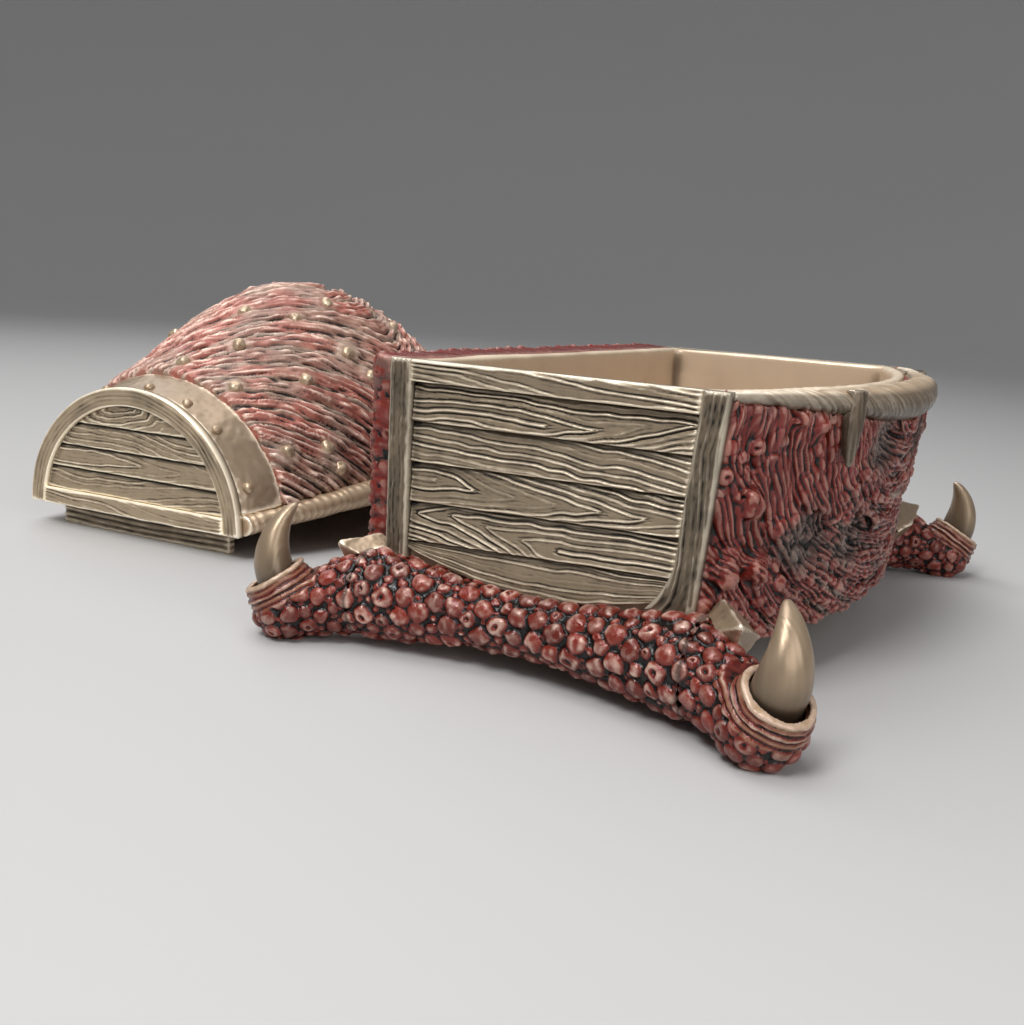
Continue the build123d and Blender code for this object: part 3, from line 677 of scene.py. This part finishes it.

# %% [markdown]
# A scaly roll lies under each end panel. A row of pebbles is set beside the panel first, as on the real
# chest, and the rest are scattered. The places are kept, because the toes go on with the same pebbles:
# where a toe and a roll meet, a pebble then lies across both and no seam shows. A thin line of painted
# shade runs where they meet, as in the cracks between pebbles.

# %% Rolls under the ends
pebble_least, pebble_most = 0.6, 2.4
row_level, row_pitch = 30.0, 4.2
roll_pebbles = {}
for side in ("left", "right"):
    node = f"roll_{side}"
    piece = skin(node, 0.34)
    points = surface(piece, "base")[0]
    wobble = warped(points)
    end_face = np.abs(own_points(f"post_front_{side}")[:, 0]).max()
    row_x = np.sign(points[0, 0]) * (end_face + 2)
    beside = [(row_x, y, row_level) for y in np.arange(-34, 35, row_pitch)]
    row = [np.argmin(((points - spot) ** 2) @ (3, 3, 1)) for spot in beside]
    places, radii = scatter(wobble, pebble_least, pebble_most, 11, row=row)
    roll_pebbles[side] = places, radii
    lift, tint, crack = pebbles(wobble, places, radii, 5)
    toes = np.minimum(distance(points, f"toe_front_{side}"), distance(points, f"toe_back_{side}"))
    # Painted shade along the line where the roll meets a toe.
    seam = 0.8 * ease(toes, 0.9, 0.3)
    carve(piece, lift - pebble_sink + 0.15 * noise(*(points.T / 0.9), seed=6))
    dark = np.maximum(crack, seam)
    finish_piece(piece, node, "red_scale", steps=5, depth=0.6, tint=0.6 * tint, grime_and_shade=dark)
    print(node, len(places), "pebbles on", len(points), "points")

# %% [markdown]
# A toe is a pebbled ball with a collar of folded skin round the root of its claw. The collar's axis leans
# outwards, so a point's height along that axis says whether it lies on pebbles or on folds, and the folds
# are waves of that height, pushed about by noise. Painted shade lies in the valleys of the folds and
# along the line where a toe meets its roll.

# %% Toes
toe_least, toe_most = 0.6, 2.1
fold_pitch = 1.3
ball_height = 6.9
cuff_seat = 3.5
cuff_lean = math.radians(31.5)
toe_reach = np.array((8.6, 14.8))
soles = {mount["name"]: np.array(mount["pos_m"]) for mount in frame["record"]["mounts"]}


def cuff_frame(corner):
    """Ball's middle and cuff's axis at a corner of the base, in the base's own frame."""
    ball = to_own(soles[f"toe_{corner}_sole"], "base") + (0, 0, ball_height)
    out = np.sign(ball[:2]) * toe_reach / np.linalg.norm(toe_reach)
    return ball, np.array((*(out * math.sin(cuff_lean)), math.cos(cuff_lean)))


corners = [f"{end}_{side}" for end in ("front", "back") for side in ("left", "right")]
for number, corner in enumerate(corners):
    node = f"toe_{corner}"
    piece = skin(node, 0.3, 3)
    points = surface(piece, "base")[0]
    ball, axis = cuff_frame(corner)
    around = points - ball
    above = around @ axis - cuff_seat
    wobble = warped(points)
    side = corner.split("_")[1]
    places, radii = scatter(wobble, toe_least, toe_most, 21 + number, given=roll_pebbles[side])
    lift, tint, crack = pebbles(wobble, places, radii, 5)
    radial = np.linalg.norm(around - np.outer(around @ axis, axis), axis=1)
    on_cuff = ease(above, -2.6, -0.9) * ease(radial, 10.5, 9.0)
    # Painted shade along the line where the toe meets its roll.
    seam = 0.8 * ease(distance(points, f"roll_{side}"), 0.9, 0.3)
    fold = above / fold_pitch + 0.5 * noise(*(around.T / 5.0), seed=7)
    fold = fold + 0.15 * noise(*(around.T / 1.6), seed=8)
    folds = np.abs(np.sin(math.pi * fold)) ** 0.8
    cuff_lift = 0.5 * folds - 0.25 + 0.1 * noise(*(around.T / 1.1), seed=9)
    carve(piece, (lift - pebble_sink) * (1 - on_cuff) + cuff_lift * on_cuff)
    rim = ease(above, 2.2, 3.1)
    worn = np.maximum(rim, 0.5 * ease(folds, 0.7, 1.0))
    tone = (0.6 * tint - 0.05) * (1 - on_cuff) + 0.25 * on_cuff
    # Painted shade in the valleys of the folds.
    fold_dark = 0.5 * on_cuff * (1 - rim) * ease(folds, 0.5, 0.1)
    dark = np.maximum(np.maximum(crack, seam) * (1 - on_cuff), fold_dark)
    finish_piece(piece, node, "red_scale", steps=5, depth=0.6, tint=tone, grime_and_shade=dark, second=on_cuff * worn)
    print(node, len(places), "pebbles on", len(points), "points")

# %% [markdown]
# The claws are smooth horn that stands in the cuffs: darker at the root, paler to the tip, with faint
# streaks up their length. The streaks are noise over the turn round the claw, stretched along the cuff's
# axis.

# %% Claws
for number, corner in enumerate(corners):
    claw = f"claw_{corner}"
    piece = skin(claw, 0.3, 8)
    points = surface(piece, "base")[0]
    ball, axis = cuff_frame(corner)
    up = (points - ball) @ axis - cuff_seat
    turn = np.arctan2(points[:, 1] - ball[1], points[:, 0] - ball[0])
    streak = noise(turn * 9, up / 9, seed=number)
    carve(piece, 0.04 * streak + 0.06 * noise(*(points.T / 3), seed=3))
    tone = 0.3 + 0.3 * ease(up, 3, 14) + 0.08 * streak
    root = 0.6 * ease(up, 5.0, 2.8)
    second = 0.7 * ease(up, 9, 4)
    finish_piece(piece, claw, "smooth_bronze", steps=10, depth=1.4, tint=tone, grime_and_shade=root, second=second)
print("claws", corners)

# %% [markdown]
# Spikes and fangs are smooth, with worn arrises. The skin's smoothing rounds the arrises and the wear
# and shading mark then finds them and paints them bright, as wear and as a painted highlight, so they
# only need a few shallow dents. The fangs are painted darker as shade, more so towards their lower end.

# %% Spikes and fangs
for corner in corners:
    node = f"spike_{corner}"
    piece = skin(node, 0.28, 3)
    points = surface(piece, "base")[0]
    carve(piece, 0.22 * noise(*(points.T / 2.4), seed=2) + 0.06 * noise(*(points.T / 0.8), seed=4))
    finish_piece(piece, node, "smooth_bronze", steps=7, depth=0.5)
for side in ("left", "right"):
    node = f"fang_{side}"
    piece = skin(node, 0.26, 5)
    points = surface(piece, "base")[0]
    middle = points.mean(0)
    turn = np.arctan2(points[:, 1] - middle[1], points[:, 0] - middle[0])
    carve(piece, 0.1 * noise(turn * 5, points[:, 2] / 8, seed=5) + 0.05 * noise(*(points.T / 1.2), seed=6))
    # Painted shade: the fang is darker overall, and more so towards its lower end.
    dark = 0.3 + 0.3 * ease(points[:, 2], 56, 46)
    finish_piece(piece, node, "smooth_bronze", steps=7, depth=0.35, tint=-0.1, grime_and_shade=dark)
print("spikes and fangs done")

# %% [markdown]
# The hide is bundles of sinew. Each bundle follows a flow line, and a flow number that grows from one
# line to the next tells ropes and fine fibres apart: the sine of it makes rounded ropes with sharp
# valleys. On the front they hang in oval bends round the middle of the rim, like garlands.

# %% Ropes of sinew
rim_height = own_points("post_front_left")[:, 2].max()
bend_share = 1.25
rope_spacing = 4.0
fibre_spacing = 1.1
crack_spacing = 4.6


def ropes(flow, along, spacing, seed, waver=0.3):
    """Rounded ropes side by side, from 0 in the valleys to 1 on the crowns."""
    count = flow / spacing + waver * noise(flow / spacing / 2, along / 12, seed=seed)
    return np.abs(np.sin(math.pi * count)) ** 0.75


def sinew(x, z, seed):
    """Lift of the hanging ropes and fibres, and how far up each rope a point lies."""
    flow = np.hypot(x / bend_share, rim_height - z)
    strayed = flow + 0.9 * noise(x / 8, z / 8, seed=seed)
    along = bend_share * flow * np.arctan2(x, rim_height - z)
    rope = ropes(flow, along, rope_spacing, seed)
    fibre = ropes(strayed, along, fibre_spacing, seed + 1, 0.9)
    nick = noise(strayed / 0.7, along / 2.2, seed=seed + 2)
    crackle = ropes(along + 1.5 * strayed, strayed, crack_spacing, seed + 3, 1.2) ** 0.4
    return 0.6 * (rope - 0.6) + 0.6 * (fibre - 0.5) + 0.5 * nick + 0.4 * (crackle - 0.8), rope


print("ropes every", rope_spacing, "mm and fibres every", fibre_spacing, "mm")

# %% [markdown]
# The front's solid already has the main grooves, hollows and warts, so the carving only adds the ropes
# between them, the fibres and small knobs. One side of the outer hollows is too steep in the solid, like
# a step. It is softened first, or the painted shade would show it as a black slit. Grey paint lies in
# the valleys and hollows, and the hollows are also painted darker as shade.

# %% Hide on the front
hollow_spots = ((15.7, 47.2), (42.2, 29.5), (21.5, 27.1))
hollow_half_width, hollow_half_height = 10, 6
steep_place, steep_level = 33.0, 29.0
soften_rounds = 80

node = "front_hide"
piece = skin(node, 0.62, 7)
x, y, z = surface(piece, "base")[0].T
steep = ease(np.hypot(np.abs(x) - steep_place, z - steep_level), 8, 3) * ease(y, -36, -40)
soften(piece, steep, soften_rounds)
refine(piece, (0, -1, 0))
points, normals = surface(piece, "base")
x, y, z = points.T
hollow = np.zeros(len(points))
for place, level in hollow_spots:
    away = np.hypot((np.abs(x) - place) / hollow_half_width, (z - level) / hollow_half_height)
    hollow = np.maximum(hollow, ease(away, 1.4, 0.7))
strands, rope = sinew(x, z, 40)
spots = points * (1, 0.4, 1)
places, radii = scatter(spots[normals[:, 1] < -0.3], 0.45, 1.9, 51, crowd=1.15)
knobs, tint, crack = pebbles(spots, places, radii, 52)
corner_knobs = ease(z, 28, 19) * ease(np.abs(x), 46, 55)
stray_knobs = ease(noise(x / 7, z / 7, seed=58), 0.05, 0.3)
knobby = np.maximum(corner_knobs, 0.8 * stray_knobs) * (1 - crack)
facing = ease(-normals[:, 1], 0.0, 0.5)
under = ease(-normals[:, 2], 0.3, 0.8)
ragged = 0.9 * noise(x / 3, y / 3, seed=59) * under
carve(piece, (strands * (1 - 0.7 * knobby) + 1.05 * knobs * knobby) * facing + ragged)
grey = ease(noise(x / 10, z / 7, seed=45) + 0.8 * ease(np.abs(x), 45, 25), 0.25, 0.7)
grey = grey * ease(rope, 0.75, 0.35)
second = np.maximum(0.75 * grey, 0.7 * hollow**2) + 0.35 * knobby * ease(tint, 0.6, 0.8)
tone = 0.3 + 0.25 * noise(x / 5, z / 6, seed=44) + 0.2 * knobby
# Painted shade in the hollows.
dark = 0.45 * hollow**2
finish_piece(
    piece, node, "red_sinew", steps=4, depth=0.32, tint=tone, grime_and_shade=dark, second=np.clip(second, 0, 1)
)
print(node, len(points), "points,", len(places), "knobs")

# %% [markdown]
# Only the edge of the back shows in the photo, so its skin is a guess: the same ropes, with knobs at its
# ends and here and there between them.

# %% Hide on the back
node = "back_hide"
piece = skin(node, 0.76, 2)
refine(piece, (0, 1, 0))
points, normals = surface(piece, "base")
x, y, z = points.T
strands, rope = sinew(x, z, 60)
spots = points * (1, 0.7, 1)
places, radii = scatter(spots[normals[:, 1] > -0.2], 0.4, 1.25, 61, crowd=0.95)
knobs, _, crack = pebbles(spots, places, radii, 62)
at_end = ease(np.abs(x), 60, 65)
knobby = np.maximum(at_end, ease(noise(x / 12, z / 12, seed=63), 0.1, 0.5)) * (1 - crack)
facing = ease(normals[:, 1], -0.2, 0.3)
facing = np.maximum(facing, at_end * ease(y, 36.5, 37.5) * ease(normals[:, 2], 0.8, 0.4))
carve(piece, (strands * (1 - 0.7 * knobby) + knobs * knobby) * facing)
tone = 0.32 + 0.2 * noise(x / 5, z / 6, seed=64)
grey = 0.6 * ease(rope, 0.6, 0.3) * (1 - knobby)
finish_piece(piece, node, "red_sinew", steps=4, depth=0.6, tint=tone, second=grey)
print(node, len(points), "points,", len(places), "knobs")

# %% [markdown]
# The tub's inside is the plain part of the casting: smooth tan paint, a soft unevenness, and a rim that
# handling has polished bright, brightened further by a painted highlight. The lower lip is a roll of
# bronze with fine slanting hatches, with a painted highlight on the faces that look up and painted shade
# on those that look down.

# %% Tub and lower lip
node = "tub"
piece = skin(node, 0.9, 5)
points = surface(piece, "base")[0]
carve(piece, 0.18 * noise(*(points.T / 14), seed=70) + 0.05 * noise(*(points.T / 4), seed=71))
finish_piece(piece, node, "tan_inside", steps=4, depth=1.4, tint=0.9)

node = "lower_lip"
piece = skin(node, 0.4, 4)
points, normals = surface(piece, "base")
x, y, z = points.T
hatch = noise((x + z * 1.2) / 0.7, (y - z) / 3.0, seed=72)
carve(piece, 0.14 * hatch + 0.25 * noise(*(points.T / 5), seed=73))
# Painted highlight on the faces that look up, painted shade on those that look down.
tone = 0.15 + 1.6 * ease(normals[:, 2], 0.6, 0.95)
dark = 0.6 * ease(normals[:, 2], 0.3, -0.4)
finish_piece(piece, node, "smooth_bronze", steps=6, depth=0.4, tint=tone, grime_and_shade=dark)
print("tub and", node, "with", len(points), "points")

# %% [markdown]
# The lid's ends repeat the base's carving inside an arch. The arch is a plate too, with a plan that runs
# round the oval, so its grain lines follow the bend.

# %% Ends of the lid
arch_width = 5.0
lid_low = own_points("lid_rail_left")[:, 2].min()
arch_points = own_points("lid_arch_left")
arch_half = np.abs(arch_points[:, 1]).max()
arch_height = arch_points[:, 2].max() - lid_low


def arch_plan(along, across):
    inset = arch_width * (1 - across)
    angle = math.pi * along
    return (arch_half - inset) * np.cos(angle), lid_low + (arch_height - inset) * np.sin(angle)


def moon_plan(node):
    """A plank of the half-moon: its ends follow the arch's inner oval."""
    low, high = own_points(node)[:, 2].min(), own_points(node)[:, 2].max()

    def plan(along, across):
        z = low + (high - low) * across
        share = np.clip((z - lid_low) / (arch_height - arch_width), 0, 1)
        half = (arch_half - arch_width) * np.sqrt(np.maximum(1 - share**2, 0))
        return half * (1 - 2 * along), z

    return plan


lid_figures = (
    lambda s, v: 1.9 * v + 3.2 * s + 0.7 * np.cos(7 * s),
    lambda s, v: 2.0 * v + 1.4 * np.sin(4 * s + 0.5),
    lambda s, v: tongues(s, v, 0.3, 0.25, 2.0, 0.0),
)
for side in ("left", "right"):
    plate(f"lid_arch_{side}", arch_plan, post_relief(81, True), 0.35, 0.22, 1.3, 0.5)
    rail = f"lid_rail_{side}"
    relief = board_relief(board_figures["top_rail"], 82, 0.2, 0.0, 0.7)
    plate(rail, corner_plan(rail), relief, 0.25, 0.22, 1.3, 0.4)
    for number in range(1, 5):
        node = f"lid_plank_{number}_{side}"
        figure = lid_figures[number % len(lid_figures)]
        # Deeper painted shade and painted shadow on the lid's planks, inside the arch.
        relief = board_relief(figure, 84 + number, 0.5, 1.1, 0.75)
        plate(node, moon_plan(node), relief, 0.3, 0.22, 1.1, 0.32)
print("lid ends carved", arch_half.round(1), arch_height.round(1))

# %% [markdown]
# The hump wears the same sinew as the front, but here it fans from the crest down to the front edge. A
# turn round the lid's length, counted in degrees from the front, and the distance from the middle give
# the flow number, with the same steps as the main grooves of the solid.

# %% Hump of the lid
strand_step = 9.0
strand_lean = 1.05
strand_bend = 9.0
lid_fibre = 1.5

node = "lid_hide"
piece = skin(node, 0.92, 2)
middles_of_squares = to_own(read(piece.data.polygons, "center"), "lid") - (0, 0, lid_low)
refine(piece, middles_of_squares * (0, 1, 1) @ turns["lid"].T)
points, normals = surface(piece, "lid")
x, y, z = points.T
turn = np.degrees(np.arctan2(z - lid_low, -y))
outward = (normals[:, 1] * y + normals[:, 2] * (z - lid_low)) / np.hypot(y, z - lid_low)
flow = turn - strand_lean * (np.hypot(x, strand_bend) - strand_bend)
strayed = flow + 1.2 * noise(x / 9, turn / 9, seed=90)
rope = ropes(flow, x, strand_step, 91, 0.45)
strand = ropes(strayed, x, strand_step / 3, 92, 0.5)
fibre = ropes(strayed, x, lid_fibre, 93, 0.9)
nick = noise(strayed / 1.2, x / 2.2, seed=94)
facing = ease(outward, 0.1, 0.5)
mound = ease(distance(points, "lid_warts"), 2.6, 0.2)
strands = 0.8 * (rope - 0.6) + 0.7 * (strand - 0.5) + 0.5 * (fibre - 0.5) + 0.6 * nick
carve(piece, 0.7 * mound + (1 - 0.6 * mound) * strands * facing)
valley = np.abs(np.sin(math.pi * flow / strand_step))
patches = ease(noise(x / 9, turn / 10, seed=96), -0.4, 0.6)
grey = 0.85 * np.clip(ease(valley, 0.6, 0.25) + 0.7 * patches + 0.4 * mound, 0, 1)
tone = 0.75 + 0.3 * noise(x / 7, turn / 8, seed=95)
finish_piece(piece, node, "faded_sinew", steps=4, depth=0.75, tint=tone, second=grey)
print(node, len(points), "points")

# %% [markdown]
# Warts sit in the hide and rivets on the straps. Both are small domes of one node each, so they are
# roughened together, and sunk a little so that they grow out of what carries them. The straps get soft
# dents.

# %% Warts, rivets and straps
for node, cell, seed, depth in (("lid_warts", 0.3, 96, 0.4), ("lid_rivets", 0.25, 97, 0.2)):
    piece = skin(node, cell, 3)
    points = surface(piece, "lid")[0]
    carve(piece, depth * noise(*(points.T / 1.5), seed=seed) + 0.08 * noise(*(points.T / 0.6), seed=seed))
    outward = points * (0, 1, 1) - (0, 0, lid_low)
    outward /= np.linalg.norm(outward, axis=1)[:, None]
    sunk = to_scene(to_own(read(piece.data.vertices, "co"), "lid") - depth * outward, "lid")
    piece.data.vertices.foreach_set("co", sunk.ravel())
    finish_piece(piece, node, "smooth_bronze", steps=6, depth=1.0, tint=1.05)
    print(node, "sunk by", depth, "mm")

for side in ("left", "right"):
    node = f"strap_{side}"
    piece = skin(node, 0.5, 4)
    points = surface(piece, "lid")[0]
    carve(piece, 0.22 * noise(*(points.T / 5), seed=98) + 0.08 * noise(*(points.T / 1.4), seed=99))
    finish_piece(piece, node, "smooth_bronze", steps=6, depth=0.4, tint=0.85, second=0.5)

# %% [markdown]
# Last come the lid's rolled lip with its fine rings, the plain tongue that it stands on, and the shell
# inside.

# %% Lip, tongue and shell of the lid
ring_pitch = 2.1
level_pitch = 1.6

node = "upper_lip"
piece = skin(node, 0.42, 4)
points = surface(piece, "lid")[0]
rings = np.sin(points[:, 0] * 2 * math.pi / ring_pitch + 4 * noise(*(points.T / 5), seed=100))
carve(piece, 0.09 * rings + 0.25 * noise(*(points.T / 4), seed=101))
finish_piece(piece, node, "smooth_bronze", steps=6, depth=0.8, tint=1.15)

node = "lid_tongue"
piece = skin(node, 0.35, 3)
points, normals = surface(piece, "lid")
x, y, z = points.T
level = np.abs(np.sin(math.pi * (z / level_pitch + 0.5 * noise(x / 14, y / 14, seed=102))))
upright = ease(np.abs(normals[:, 2]), 0.5, 0.2)
carve(piece, (0.3 * (level - 0.6) + 0.06 * noise(x / 3, y / 3, z / 0.4, seed=103)) * upright)
finish_piece(piece, node, "bronze_wood", steps=5, depth=0.3)

node = "lid_shell"
piece = skin(node, 1.2, 4)
points = surface(piece, "lid")[0]
carve(piece, 0.15 * noise(*(points.T / 12), seed=104))
finish_piece(piece, node, "tan_inside", steps=4, depth=1.4)
print("lid done")

# %% [markdown]
# The chest stands on a plain pale floor that curves up all round, as a studio's paper does, so that no
# horizon shows from any side. The floor is seen, but it isn't part of the chest.

# %% Floor
floor_sides = 96


def plain_material(name, colour, roughness):
    made = bpy.data.materials.new(name)
    made.use_nodes = True
    shader = made.node_tree.nodes["Principled BSDF"]
    mottle = add(made.node_tree, "ShaderNodeTexNoise", Scale=9.0)
    tone = made.node_tree.nodes.new("ShaderNodeValToRGB")
    tone.color_ramp.elements[0].color = [part * 0.97 for part in colour[:3]] + [1]
    tone.color_ramp.elements[1].color = colour
    made.node_tree.links.new(mottle.outputs[0], tone.inputs[0])
    made.node_tree.links.new(tone.outputs[0], shader.inputs["Base Color"])
    shader.inputs["Roughness"].default_value = roughness
    return made


def studio_floor(flat, bend, wall):
    """A round floor whose edge curves up into a wall, all in metres."""
    profile = [(flat * share, 0.0) for share in (0.25, 0.5, 0.75, 1.0)]
    angles = [math.pi / 2 * step / 8 for step in range(1, 9)]
    profile += [(flat + bend * math.sin(angle), bend * (1 - math.cos(angle))) for angle in angles]
    profile.append((flat + bend, bend + wall))
    shape = bmesh.new()
    rings = []
    for radius, height in profile:
        ring = bmesh.ops.create_circle(shape, segments=floor_sides, radius=radius)["verts"]
        bmesh.ops.translate(shape, verts=ring, vec=(0, 0, height))
        rings.append(ring)
    shape.faces.new(rings[0])
    for inner, outer in zip(rings, rings[1:]):
        for number in range(floor_sides):
            after = (number + 1) % floor_sides
            shape.faces.new((inner[number], outer[number], outer[after], inner[after]))
    mesh = bpy.data.meshes.new("floor")
    shape.to_mesh(mesh)
    shape.free()
    mesh.polygons.foreach_set("use_smooth", np.ones(len(mesh.polygons), bool))
    made = bpy.data.objects.new("floor", mesh)
    bpy.context.scene.collection.objects.link(made)
    return made


floor = studio_floor(1.3, 0.9, 0.6)
floor.data.materials.append(plain_material("floor_paint", colour_of(192, 191, 190), 0.6))
print("floor", [round(size, 2) for size in floor.dimensions])

# %% [markdown]
# Four large soft lamps light the chest: a key high over its left end, a wide one over the top, and weaker
# ones behind it and in front. The surround adds an even pale light that keeps the shadows open.

# %% Light
world = bpy.data.worlds.new("surround")
world.use_nodes = True
world.node_tree.nodes["Background"].inputs["Color"].default_value = (0.86, 0.87, 0.9, 1)
world.node_tree.nodes["Background"].inputs["Strength"].default_value = 0.34
bpy.context.scene.world = world


def lamp(name, place, aim, size, power):
    light = bpy.data.lights.new(name, "AREA")
    light.shape = "DISK"
    light.size = size
    light.energy = power
    made = bpy.data.objects.new(name, light)
    bpy.context.scene.collection.objects.link(made)
    made.location = place
    made.rotation_euler = (Vector(aim) - Vector(place)).to_track_quat("-Z", "Y").to_euler()


lamp("key", (-0.55, 0.0, 0.75), (-0.05, -0.03, 0.03), 0.35, 4.6)
lamp("top", (-0.1, 0.15, 0.9), (-0.05, 0, 0.03), 0.7, 3.6)
lamp("back", (0.3, 0.6, 0.7), (0, 0, 0.03), 0.6, 1.6)
lamp("fill", (-0.35, -0.6, 0.3), (0, -0.06, 0.03), 0.5, 1.4)
bpy.context.scene.view_settings.view_transform = "Standard"
print("lamps", [light.name for light in bpy.data.lights])

# %% [markdown]
# The camera repeats the photo's place, found by matching straight edges of the rim, the posts and the
# planks. Its eye is in the base's own millimetres, and yaw, pitch and roll turn it.

# %% Camera
photo_width = 1024
focal_pixels = 1115.2
eye = np.array((-254.8, -99.8, 74.8))
yaw, pitch, roll = (math.radians(angle) for angle in (29.85, 11.54, 3.63))
ahead = np.array((math.cos(pitch) * math.cos(yaw), math.cos(pitch) * math.sin(yaw), -math.sin(pitch)))
level_right = np.array((math.sin(yaw), -math.cos(yaw), 0.0))
level_up = np.cross(level_right, ahead)
right = level_right * math.cos(roll) + level_up * math.sin(roll)
up = level_up * math.cos(roll) - level_right * math.sin(roll)
camera = bpy.data.objects.new("camera", bpy.data.cameras.new("camera"))
bpy.context.scene.collection.objects.link(camera)
camera.data.sensor_fit = "HORIZONTAL"
camera.data.lens = camera.data.sensor_width * focal_pixels / photo_width
camera.data.clip_start = 0.01
matrix = np.eye(4)
matrix[:3, 0], matrix[:3, 1], matrix[:3, 2] = right, up, -ahead
matrix[:3, 3] = to_scene(eye, "base")
camera.matrix_world = Matrix(matrix.tolist())
bpy.context.scene.camera = camera
print("camera at", camera.location, "lens", round(camera.data.lens, 2))
